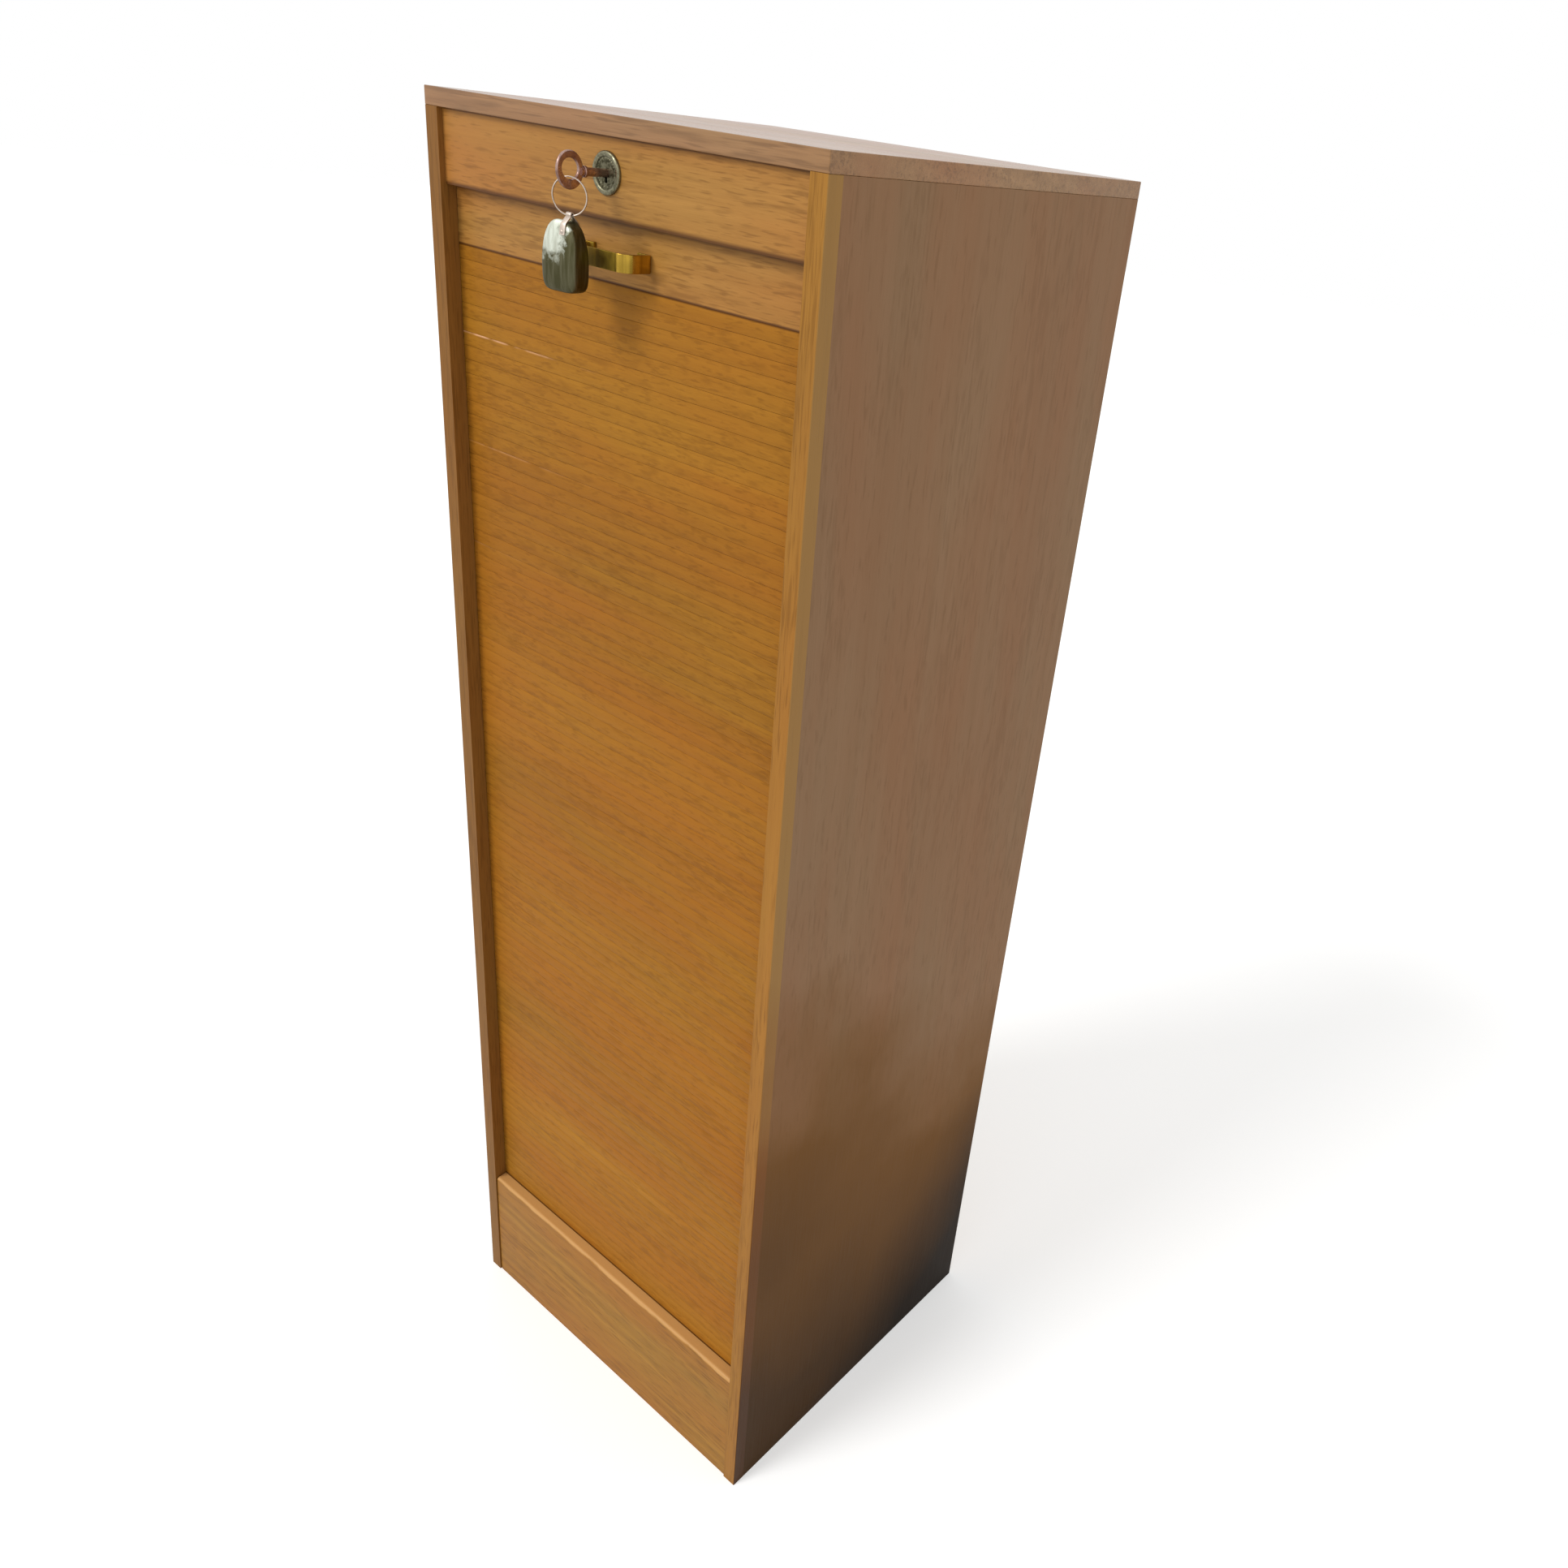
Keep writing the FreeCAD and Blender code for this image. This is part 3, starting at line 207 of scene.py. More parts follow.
# Shades of a finish, as shares of the red, green and blue of its own colour
LATE_WOOD = (0.78, 0.73, 0.56)
EARLY_WOOD = (1.20, 1.24, 1.36)
WARM_WOOD = (1.04, 0.93, 0.88)
OPEN_PORE = (0.64, 0.56, 0.36)
SLAT_JOINT = (0.55, 0.46, 0.30)
# Pale top arris of a slat: partly wear, partly painted highlight
WORN_AND_LIT_SLAT = (1.46, 1.66, 4.4)
# Painted shade in the joints where boards meet
SEAM_SHADE = (0.46, 0.34, 0.18)
# Pale arris: partly rubbed wood, partly painted highlight
RUBBED_AND_LIT_EDGE = (1.36, 1.46, 2.60)
# A paler, greyer outer face of a lipping
PALER_OUTER_FACE = (1.02, 1.12, 1.62)
# Painted shade at the foot of the sides and in their rear corner
FOOT_SHADE_BROWN = (0.84, 0.70, 0.27)
FOOT_SHADE_DARK = (0.45, 0.36, 0.10)
CORNER_SHADE_BLACK = (0.20, 0.18, 0.15)
PLAIN_STREAK = (0.84, 0.80, 0.74)
PLAIN_PALE = (1.08, 1.09, 1.12)
PLAIN_CLOUD = (0.96, 0.90, 0.82)
THREAD_GAP = (0.72, 0.70, 0.66)
CANVAS_STAIN = (0.88, 0.84, 0.76)
FINE_SCRATCH = (0.55, 0.52, 0.45)


def shade(colour, shares):
    """A screen colour with its channels scaled, as a light value."""
    return linear([value * share for value, share in zip(colour, shares)])


def new_material(name):
    """An empty node material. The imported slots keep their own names, so this one adds a word."""
    material = bpy.data.materials.new(name + "_finish")
    material.use_nodes = True
    material.node_tree.nodes.clear()
    return material, Graph(material.node_tree)


def surface(graph, inputs):
    """The closing shader of a material, wired to its output."""
    shader = graph.add("ShaderNodeBsdfPrincipled", inputs)
    graph.add("ShaderNodeOutputMaterial", {"Surface": shader})


def oak(name, colour, grain, look, shift):
    """Lacquered oak: broad tone, growth rings, fibres and short dark pores along the grain."""
    material, graph = new_material(name)
    place = graph.place()
    along = graph.add("ShaderNodeMapping", {
        "Vector": place, "Rotation": GRAIN_TURN[grain], "Location": shift})
    broad = graph.stretched(along, (1.6, 7.0, 7.0), detail=2.0)
    hue = graph.stretched(along, (3.0, 14.0, 14.0), detail=3.0, shift=(4.0, 2.0, 9.0))
    streak = graph.stretched(
        along, (look["streak_rate"], 120.0, 120.0), detail=4.0, roughness=0.6)
    total = graph.weigh(
        (broad, look["broad"]),
        (streak, look["streak"]),
        (growth_rings(graph, along, look), look["figure"]))
    fine = along
    if look.get("leaves"):
        tone = graph.stored("slat_tone")
        total = graph.plus(total, graph.times(tone, look["leaves"]))
        jump = graph.vector(X=tone)
        fine = graph.add("ShaderNodeVectorMath", {0: along, 1: jump}, operation="ADD")
    fibre = graph.stretched(fine, (look["fibre_rate"], 900.0, 900.0), detail=3.0, roughness=0.6)
    total = graph.plus(total, graph.weigh((fibre, look["fibre"])))
    pores = pore_dashes(graph, fine, look)
    position = graph.remap(total, -0.5, 0.5, 0.0, 1.0)
    wood = graph.mix(position, shade(colour, LATE_WOOD), shade(colour, EARLY_WOOD))
    warm = graph.remap(hue, 0.35, 0.65, 0.0, look["hue"])
    wood = graph.mix(warm, wood, shade(colour, WARM_WOOD))
    wood = graph.mix(graph.times(pores, look["pores"]), wood, shade(colour, OPEN_PORE))
    if look.get("leaves"):
        wood = slat_edges(graph, place, wood, colour)
    # Painted shade lines where boards meet
    if look.get("shaded_seams"):
        wood = painted_seam_shade(graph, place, wood, colour, look["shaded_seams"])
    # Pale top arris: partly wear, partly painted highlight
    if look.get("rubbed_and_lit"):
        wood = rubbed_and_lit_arris(graph, place, wood, colour, look["rubbed_and_lit"])
    # The outer face of a lipping is paler and greyer
    if look.get("paler_outside"):
        paler_outside = graph.times(outer_face(graph, place), look["paler_outside"])
        wood = graph.mix(paler_outside, wood, shade(colour, PALER_OUTER_FACE))
    # Painted shade towards the foot and the rear corner of the outer faces
    if look.get("shade_to_foot"):
        wood = painted_foot_shade(graph, place, wood, colour, look["shade_to_foot"])
    height = graph.minus(graph.times(fibre, 0.5), pores)
    bump = graph.bump(height, 0.2, 0.15 * MM)
    gloss = look["gloss"]
    gloss = graph.remap(graph.plus(fibre, broad), 0.7, 1.3, gloss - 0.06, gloss + 0.07)
    surface(graph, {
        "Base Color": wood, "Roughness": gloss, "Normal": bump,
        "Specular IOR Level": look["sheen"],
    })
    return material


def growth_rings(graph, along, look):
    """Wavy bands of early and late wood, which come and go along a board."""
    place = graph.add("ShaderNodeMapping", {
        "Vector": along, "Scale": (0.22, 1.0, 1.0), "Location": (0.0, look["heart"], 0.11)})
    bands = graph.add("ShaderNodeTexWave", {
        "Vector": place, "Scale": look["rings"], "Distortion": 9.0, "Detail": 3.0,
        "Detail Scale": 0.5, "Detail Roughness": 0.62,
    }, output="Fac", wave_type="RINGS", rings_direction="X", wave_profile="SIN")
    presence = graph.stretched(along, (2.0, 9.0, 9.0), shift=(6.0, 3.0, 1.0))
    presence = graph.remap(presence, 0.4, 0.62, 0.0, 1.0)
    centred = graph.minus(bands, 0.5)
    return graph.plus(graph.times(centred, presence), 0.5)


def pore_dashes(graph, along, look):
    """Short dark dashes of open pores, thicker on the ground in some places than in others."""
    rate = look["dash_rate"]
    across = look["dash_fine"]
    fine = graph.stretched(
        along, (rate, across, across), detail=1.5, roughness=0.7, shift=(1.0, 5.0, 3.0))
    bold = graph.stretched(
        along, (rate * 0.6, across * 0.4, across * 0.4), detail=2.0, shift=(8.0, 4.0, 2.0))
    clumps = graph.stretched(along, (5.0, 22.0, 22.0), detail=2.0, shift=(7.0, 1.0, 2.0))
    thicker = graph.remap(clumps, 0.3, 0.7, -0.07, 0.07)
    fine_level = graph.remap(graph.plus(fine, thicker), 0.54, 0.68, 0.0, 1.0)
    bold_level = graph.remap(graph.plus(bold, thicker), 0.56, 0.74, 0.0, 0.9)
    return graph.math("MAXIMUM", fine_level, bold_level)


def slat_edges(graph, place, wood, colour):
    """Dirt in the joints of the curtain, and a pale edge on the slats that end a leaf, partly wear
    and partly a painted highlight where the top arris catches the light.
    """
    across = graph.stored("across")
    worn = graph.stored("worn")
    side = graph.axis(place, "X")
    joint = graph.remap(graph.math("ABSOLUTE", across), 0.93, 1.0, 0.0, 0.08)
    wood = graph.mix(joint, wood, shade(colour, SLAT_JOINT))
    patches = graph.stretched(place, (38.0, 10.0, 10.0), detail=3.0)
    patches = graph.remap(patches, 0.36, 0.56, 0.0, 1.0)
    reach = graph.times(graph.remap(side, -0.19, -0.02, 1.0, 0.0), patches)
    # Pale top arris of the first slat of each leaf: partly wear, partly painted highlight
    crest = graph.times(graph.remap(across, 0.70, 0.92, 0.0, 1.0), worn)
    return graph.mix(graph.times(crest, reach), wood, shade(colour, WORN_AND_LIT_SLAT))


def painted_seam_shade(graph, place, wood, colour, shaded_seams):
    """Painted shade: dark lines at the heights where boards meet, where shade falls under an edge
    or in a joint, each with its reach.
    """
    level = graph.axis(place, "Z")
    for height, reach in shaded_seams:
        away = graph.math("ABSOLUTE", graph.minus(level, height))
        seam_shading = graph.remap(away, reach * 0.3, reach, 0.85, 0.0)
        wood = graph.mix(seam_shading, wood, shade(colour, SEAM_SHADE))
    return wood


def rubbed_and_lit_arris(graph, place, wood, colour, height):
    """Above a height the wood is paler: partly the finish rubbed off, partly a painted highlight
    where the arris catches the light from above.
    """
    level = graph.axis(place, "Z")
    cloud = graph.stretched(place, (30.0, 60.0, 60.0), detail=3.0)
    ragged = graph.remap(cloud, 0.3, 0.7, -1.5 * MM, 1.5 * MM)
    level = graph.plus(level, ragged)
    rubbed_and_lit = graph.remap(level, height - 1.0 * MM, height + 1.5 * MM, 0.0, 0.85)
    return graph.mix(rubbed_and_lit, wood, shade(colour, RUBBED_AND_LIT_EDGE))


def outer_face(graph, place):
    """1 on the outer faces of the two sides, and 0 inside of them."""
    edge = CAD_BOX[1][0]
    side = graph.math("ABSOLUTE", graph.axis(place, "X"))
    return graph.remap(side, edge - 0.8 * MM, edge - 0.2 * MM, 0.0, 1.0)


def painted_foot_shade(graph, place, wood, colour, strength):
    """Painted shade: an outer face browns and darkens to its foot, and is nearly black in the rear
    corner, where shade falls.
    """
    outside = graph.times(outer_face(graph, place), strength)
    height = graph.axis(place, "Z")
    depth = graph.axis(place, "Y")
    cloud = graph.stretched(place, (5.0, 5.0, 5.0), detail=4.0, shift=(3.0, 8.0, 1.0))
    cloud = graph.remap(cloud, 0.3, 0.7, -0.06, 0.06)
    rear = graph.times(depth, 0.5)
    level = graph.plus(graph.plus(height, cloud), rear)
    foot = graph.remap(level, 0.38, 0.58, 1.0, 0.0)
    wood = graph.mix(graph.times(foot, outside), wood, shade(colour, FOOT_SHADE_BROWN))
    foot = graph.remap(level, 0.0, 0.45, 1.0, 0.0)
    wood = graph.mix(graph.times(foot, outside), wood, shade(colour, FOOT_SHADE_DARK))
    slope = graph.minus(graph.times(depth, 1.1), height)
    corner = graph.remap(graph.plus(slope, cloud), -0.15, 0.1, 0.0, 1.0)
    return graph.mix(graph.times(corner, outside), wood, shade(colour, CORNER_SHADE_BLACK))


def plain_wood(name, colour, grain, contrast):
    """Bare or thinly finished wood of the inside: soft streaks and fibres only."""
    material, graph = new_material(name)
    place = graph.place()
    along = graph.add("ShaderNodeMapping", {"Vector": place, "Rotation": GRAIN_TURN[grain]})
    streak = graph.stretched(along, (1.8, 60.0, 60.0), detail=4.0, roughness=0.6)
    fibre = graph.stretched(along, (12.0, 700.0, 700.0), detail=3.0)
    cloud = graph.stretched(along, (2.5, 6.0, 6.0), detail=2.0)
    total = graph.plus(graph.times(streak, 0.55), graph.times(fibre, 0.45))
    position = graph.remap(total, 0.3, 0.7, 0.5 - contrast, 0.5 + contrast)
    wood = graph.mix(position, shade(colour, PLAIN_STREAK), shade(colour, PLAIN_PALE))
    wood = graph.mix(graph.remap(cloud, 0.4, 0.7, 0.0, 0.35), wood, shade(colour, PLAIN_CLOUD))
    surface(graph, {
        "Base Color": wood, "Normal": graph.bump(fibre, 0.2, 0.2 * MM),
        "Roughness": graph.remap(streak, 0.3, 0.7, 0.55, 0.7),
    })
    return material


def woven_canvas(name, colour):
    """Cotton canvas with crossing threads a little over half a millimetre apart."""
    material, graph = new_material(name)
    place = graph.place()
    threads = []
    for direction in ("X", "Z"):
        threads.append(graph.add("ShaderNodeTexWave", {
            "Vector": place, "Scale": 480.0, "Distortion": 0.4,
        }, output="Fac", wave_type="BANDS", bands_direction=direction))
    weave = graph.math("MAXIMUM", *threads)
    cloud = graph.stretched(place, (30.0, 30.0, 30.0), detail=4.0)
    cloth = graph.mix(weave, shade(colour, THREAD_GAP), linear(colour))
    cloth = graph.mix(graph.remap(cloud, 0.4, 0.7, 0.0, 0.3), cloth, shade(colour, CANVAS_STAIN))
    surface(graph, {
        "Base Color": cloth, "Normal": graph.bump(weave, 0.5, 0.2 * MM), "Roughness": 0.9,
        "Specular IOR Level": 0.2,
    })
    return material


def worn_metal(name, colour, look, dulling_and_painted_reflection):
    """Metal with cloudy tarnish, fine scratches and a roughness that wanders.

    The last value, where it isn't None, writes where the metal is dullest, from 0 to 1; for the
    fob it is a painted reflection, dark where it is 1.
    """
    material, graph = new_material(name)
    place = graph.place()
    cloud = graph.stretched(place, (look["cloud"],) * 3, detail=5.0, roughness=0.6)
    fine = graph.stretched(place, look["scratch"], detail=2.0, shift=(2.0, 6.0, 1.0))
    tarnish = graph.remap(cloud, 0.40, 0.66, 0.0, look["tarnish"])
    # For the fob this mixes in its painted reflection, dark low down and on its right
    if dulling_and_painted_reflection:
        tarnish = graph.math("MAXIMUM", tarnish, dulling_and_painted_reflection(graph, place, cloud))
    tint = graph.mix(tarnish, linear(colour), shade(colour, look["tarnish_tint"]))
    streaks = graph.remap(fine, 0.4, 0.7, 0.0, look["streaks"])
    tint = graph.mix(streaks, tint, shade(colour, FINE_SCRATCH))
    rough = graph.plus(graph.times(cloud, 0.7), graph.times(fine, 0.3))
    rough = graph.remap(rough, 0.35, 0.65, *look["rough"])
    rough = graph.plus(rough, graph.times(tarnish, look["dull_rough"]))
    dents = graph.plus(graph.times(fine, 0.3), graph.times(cloud, look["dents"]))
    bump = graph.bump(dents, 0.3, 0.1 * MM)
    surface(graph, {"Base Color": tint, "Metallic": 1.0, "Roughness": rough, "Normal": bump})
    return material


def pull_dulled(graph, place, cloud):
    """The flat of the pull is dull, and its bends are polished by hands."""
    away = graph.math("ABSOLUTE", graph.axis(place, "X"))
    flat = graph.remap(away, PULL[1].x - 12 * MM, PULL[1].x - 9 * MM, 0.85, 0.0)
    return graph.times(flat, graph.remap(cloud, 0.3, 0.6, 0.75, 1.0))


def lock_dulled(graph, place, cloud):
    """Dirt lies in the hollow of the collar and on the plug, and not on the rim."""
    axis = (0.0, 0.0, LOCK_HEIGHT)
    reach = graph.add("ShaderNodeVectorMath", {0: place, 1: axis}, operation="SUBTRACT")
    reach = graph.add("ShaderNodeVectorMath", {0: reach, 1: (1.0, 0.0, 1.0)}, operation="MULTIPLY")
    reach = graph.add("ShaderNodeVectorMath", {0: reach}, output="Value", operation="LENGTH")
    hollow = graph.remap(reach, 10.6 * MM, 11.6 * MM, 1.0, 0.0)
    return graph.times(hollow, graph.remap(cloud, 0.42, 0.60, 1.0, 0.25))


def fob_painted_reflection(graph, place, cloud):
    """Painted reflection: the fob is bright at its upper left, where it would mirror the light,
    and dark below and on its right, where it would mirror its dark surroundings.
    """
    ragged = graph.remap(cloud, 0.3, 0.7, -7.0 * MM, 7.0 * MM)
    height = graph.plus(graph.axis(place, "Z"), ragged)
    middle = FOB[0].z + 0.55 * (FOB[1].z - FOB[0].z)
    low = graph.remap(height, middle - 5.0 * MM, middle + 4.0 * MM, 1.0, 0.0)
    side = graph.plus(graph.axis(place, "X"), ragged)
    edge = 0.7 * FOB[1].x + 0.3 * FOB[0].x
    right = graph.remap(side, edge - 4.5 * MM, edge + 2.0 * MM, 0.0, 1.0)
    return graph.math("MAXIMUM", low, right)


# How strongly each layer of an oak shows. Rates are in cycles to a metre.
SLAT_LOOK = {
    "broad": 0.62, "streak": 0.34, "streak_rate": 5.0, "fibre": 0.44, "fibre_rate": 50.0,
    "figure": 0.10, "rings": 18.0, "heart": 0.09,
    "dash_rate": 75.0, "dash_fine": 420.0, "pores": 0.30,
    "hue": 0.6, "leaves": 0.07, "gloss": 0.46, "sheen": 0.10,
    # Painted shade lines under the rail and where the curtain meets the plinth
    "shaded_seams": ((RAIL[0].z, 1.6 * MM), (PLINTH_TOP, 2.5 * MM)),
}
FRONT_LOOK = {
    "broad": 0.62, "streak": 0.60, "streak_rate": 2.2, "fibre": 0.44, "fibre_rate": 30.0,
    "figure": 0.34, "rings": 20.0, "heart": 0.05,
    "dash_rate": 45.0, "dash_fine": 460.0, "pores": 0.44,
    "hue": 0.7, "gloss": 0.44, "sheen": 0.22,
    # Painted shade lines under the top's overhang, under the fascia and under the rail
    "shaded_seams": ((FASCIA[1].z, 1.8 * MM), (FASCIA[0].z, 3.6 * MM), (RAIL[0].z, 1.6 * MM)),
}
# The plinth's top arris is paler: partly wear, partly painted highlight
PLINTH_LOOK = {**FRONT_LOOK, "shaded_seams": (), "rubbed_and_lit": PLINTH_TOP - 3.0 * MM}
TOP_LOOK = {
    "broad": 0.50, "streak": 0.62, "streak_rate": 2.2, "fibre": 0.36, "fibre_rate": 14.0,
    "figure": 0.20, "rings": 24.0, "heart": 0.15,
    "dash_rate": 22.0, "dash_fine": 420.0, "pores": 0.46,
    "hue": 0.7, "gloss": 0.26, "sheen": 0.50,
}
SIDE_LOOK = {
    "broad": 0.26, "streak": 0.20, "streak_rate": 2.2, "fibre": 0.20, "fibre_rate": 14.0,
    "figure": 0.06, "rings": 18.0, "heart": 0.2,
    "dash_rate": 40.0, "dash_fine": 300.0, "pores": 0.18,
    # The outer face gets painted shade towards its foot and rear corner
    "hue": 0.5, "gloss": 0.48, "sheen": 0.12, "shade_to_foot": 0.95,
}
LIPPING_LOOK = {
    "broad": 0.34, "streak": 0.40, "streak_rate": 2.2, "fibre": 0.30, "fibre_rate": 14.0,
    "figure": 0.10, "rings": 30.0, "heart": 0.12,
    "dash_rate": 30.0, "dash_fine": 620.0, "pores": 0.40,
    # The outer face is paler and greyer, and gets painted shade towards its foot
    "hue": 0.4, "gloss": 0.44, "sheen": 0.15, "paler_outside": 0.8, "shade_to_foot": 0.95,
}

BRASS_LOOK = {
    "cloud": 90.0, "scratch": (230.0, 230.0, 5.0), "streaks": 0.7, "rough": (0.14, 0.28),
    "tarnish": 0.30, "tarnish_tint": (0.80, 0.82, 0.66), "dull_rough": 0.30, "dents": 0.2,
}
STEEL_LOOK = {
    "cloud": 160.0, "scratch": (1400.0, 1400.0, 300.0), "streaks": 0.2, "rough": (0.28, 0.48),
    "tarnish": 0.4, "tarnish_tint": (0.70, 0.68, 0.64), "dull_rough": 0.1, "dents": 0.3,
}
NICKEL_LOOK = {
    "cloud": 460.0, "scratch": (900.0, 900.0, 900.0), "streaks": 0.35, "rough": (0.22, 0.42),
    "tarnish": 0.55, "tarnish_tint": (0.48, 0.47, 0.40), "dull_rough": 0.2, "dents": 0.9,
}
KEY_LOOK = {
    "cloud": 110.0, "scratch": (600.0, 600.0, 600.0), "streaks": 0.3, "rough": (0.20, 0.36),
    "tarnish": 0.85, "tarnish_tint": (0.58, 0.44, 0.38), "dull_rough": 0.1, "dents": 0.3,
}
# The fob's tarnish tint is also the dark of its painted reflection
PEWTER_LOOK = {
    "cloud": 120.0, "scratch": (420.0, 420.0, 40.0), "streaks": 0.4, "rough": (0.22, 0.38),
    "tarnish": 0.12, "tarnish_tint": (0.34, 0.32, 0.23), "dull_rough": 0.12, "dents": 1.0,
}

# Each oak has its colour in the panel, the axis of its grain, its look and the place it is cut
OAKS = {
    "oak_side": ("side", "Z", SIDE_LOOK, (0.0, 0.0, 0.0)),
    "oak_top": ("top", "X", TOP_LOOK, (0.3, 0.2, 0.7)),
    "oak_front": ("front", "X", FRONT_LOOK, (0.0, 0.0, 0.0)),
    "oak_plinth": ("plinth", "X", PLINTH_LOOK, (0.4, 0.3, 0.2)),
    "oak_lipping": ("lipping", "Z", LIPPING_LOOK, (0.2, 0.5, 0.1)),
    "oak_lipping_left": ("lipping_left", "Z", LIPPING_LOOK, (0.6, 0.1, 0.3)),
    "oak_slat": ("slat", "X", SLAT_LOOK, (0.0, 0.0, 0.0)),
}
# Each plain wood has its colour in the panel, the axis of its grain and its contrast
PLAIN_WOODS = {
    "plywood": ("plywood", "Z", 0.3),
    "softwood": ("softwood", "Y", 0.4),
    "tray_front": ("tray", "X", 0.45),
    "tray_wall": ("tray", "Y", 0.45),
}
# Each metal has its colour in the panel, its look and what dulls it where it is dirty, which for
# the fob is its painted reflection
METALS = {
    "brass": ("brass", BRASS_LOOK, pull_dulled),
    "steel": ("steel", STEEL_LOOK, None),
    "nickel": ("nickel", NICKEL_LOOK, lock_dulled),
    "key_metal": ("key", KEY_LOOK, None),
    "ring_steel": ("ring", STEEL_LOOK, None),
    "pewter": ("pewter", PEWTER_LOOK, fob_painted_reflection),
}


def finish(name):
    """The finish of that name, made once from the colours in the panel."""
    made = bpy.data.materials.get(name + "_finish")
    if made:
        return made
    woods = bpy.context.scene.cabinet_woods
    metals = bpy.context.scene.cabinet_metals
    if name in OAKS:
        colour, grain, look, shift = OAKS[name]
        return oak(name, getattr(woods, colour), grain, look, shift)
    if name in PLAIN_WOODS:
        colour, grain, contrast = PLAIN_WOODS[name]
        return plain_wood(name, getattr(woods, colour), grain, contrast)
    if name == "canvas":
        return woven_canvas(name, woods.canvas)
    colour, look, dulling_and_painted_reflection = METALS[name]
    return worn_metal(name, getattr(metals, colour), look, dulling_and_painted_reflection)


def finish_nodes(finish_name, *names):
    """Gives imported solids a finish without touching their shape."""
    material = finish(finish_name)
    for name in names:
        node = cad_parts[name]
        if not node.material_slots:
            node.data.materials.append(material)
        for slot in node.material_slots:
            slot.material = material


def new_piece(name, mesh, body, replaced, finish_name, crease=35.0):
    """Links a mesh as a piece on its body, smooth between its creases, and hides the solid that it
    stands for.
    """
    mesh.name = name
    piece = bpy.data.objects.new(name, mesh)
    bpy.context.scene.collection.objects.link(piece)
    mesh.materials.clear()
    mesh.materials.append(finish(finish_name))
    mesh.shade_smooth()
    mesh.set_sharp_from_angle(angle=math.radians(crease))
    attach(piece, body)
    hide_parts(replaced)
    return piece


def to_mesh(work):
    """A plain mesh from a bmesh, its doubles merged and its faces turned outwards."""
    bmesh.ops.remove_doubles(work, verts=work.verts, dist=0.001 * MM)
    bmesh.ops.recalc_face_normals(work, faces=work.faces)
    mesh = bpy.data.meshes.new("shape")
    work.to_mesh(mesh)
    work.free()
    return mesh


def skin(work, rings, closed=False, caps=True, whole=True):
    """Joins rings of points with quads, ring to ring, and round each ring that is whole."""
    made = [[work.verts.new(point) for point in ring] for ring in rings]
    size = len(made[0])
    last = size if whole else size - 1
    pairs = list(zip(made, made[1:]))
    if closed:
        pairs.append((made[-1], made[0]))
    for first, second in pairs:
        for i in range(last):
            j = (i + 1) % size
            work.faces.new((first[i], first[j], second[j], second[i]))
    if caps and not closed:
        work.faces.new(made[0])
        work.faces.new(list(reversed(made[-1])))


def rounded_section(width, thickness, radius, steps=3):
    """Outline of a bar's section, centred, as pairs of across and up."""
    points = []
    corners = ((1, 1, 0), (-1, 1, 90), (-1, -1, 180), (1, -1, 270))
    for side, level, start in corners:
        centre = (side * (width / 2 - radius), level * (thickness / 2 - radius))
        points += arc(centre, radius, start, start + 90, steps)
    return points


def sweep(work, path, across, section):
    """Carries a section along a path. Its width stays on one fixed direction."""
    rings = []
    for before, point, after in zip([path[0], *path], path, [*path[1:], path[-1]]):
        out = (after - before).normalized().cross(across).normalized()
        rings.append([point + across * a + out * b for a, b in section])
    skin(work, rings)


def arc(centre, radius, start, end, steps):
    """Points of an arc, as pairs, with angles in degrees."""
    points = []
    for step in range(steps + 1):
        turn = math.radians(start + (end - start) * step / steps)
        points.append((centre[0] + radius * math.cos(turn), centre[1] + radius * math.sin(turn)))
    return points


def turned(work, outline, centre, steps=72, whole=True):
    """Turns an outline of radius and Y round the line along Y through a centre."""
    rings = []
    for step in range(steps):
        angle = 2 * math.pi * step / steps
        points = outline(angle) if callable(outline) else outline
        rings.append([
            Vector((centre.x + r * math.cos(angle), y, centre.z + r * math.sin(angle)))
            for r, y in points
        ])
    skin(work, rings, closed=True, caps=False, whole=whole)


def add_box(work, low, high):
    """A box between two corners."""
    place = Matrix.Translation((low + high) / 2) @ Matrix.Diagonal((*(high - low), 1))
    bmesh.ops.create_cube(work, size=1.0, matrix=place)


def run_tree(name, tree, values):
    """Evaluates a Geometry Nodes tree once and hands back its result as a plain mesh."""
    holder = bpy.data.objects.new(name, bpy.data.meshes.new(name))
    bpy.context.scene.collection.objects.link(holder)
    modifier = holder.modifiers.new("shape", "NODES")
    modifier.node_group = tree
    sockets = {
        item.name: item.identifier for item in tree.interface.items_tree
        if item.item_type == "SOCKET" and item.in_out == "INPUT"
    }
    for label, value in values.items():
        modifier[sockets[label]] = value
    bpy.context.view_layer.update()
    graph = bpy.context.evaluated_depsgraph_get()
    mesh = bpy.data.meshes.new_from_object(holder.evaluated_get(graph))
    holder.modifiers.remove(modifier)
    bpy.data.objects.remove(holder)
    if not mesh.polygons:
        raise RuntimeError(name + " came out of its node tree empty")
    return outward(mesh)


def outward(mesh):
    """Turns every closed shell of a mesh outwards."""
    work = bmesh.new()
    work.from_mesh(mesh)
    bmesh.ops.recalc_face_normals(work, faces=work.faces)
    work.to_mesh(mesh)
    work.free()
    return mesh


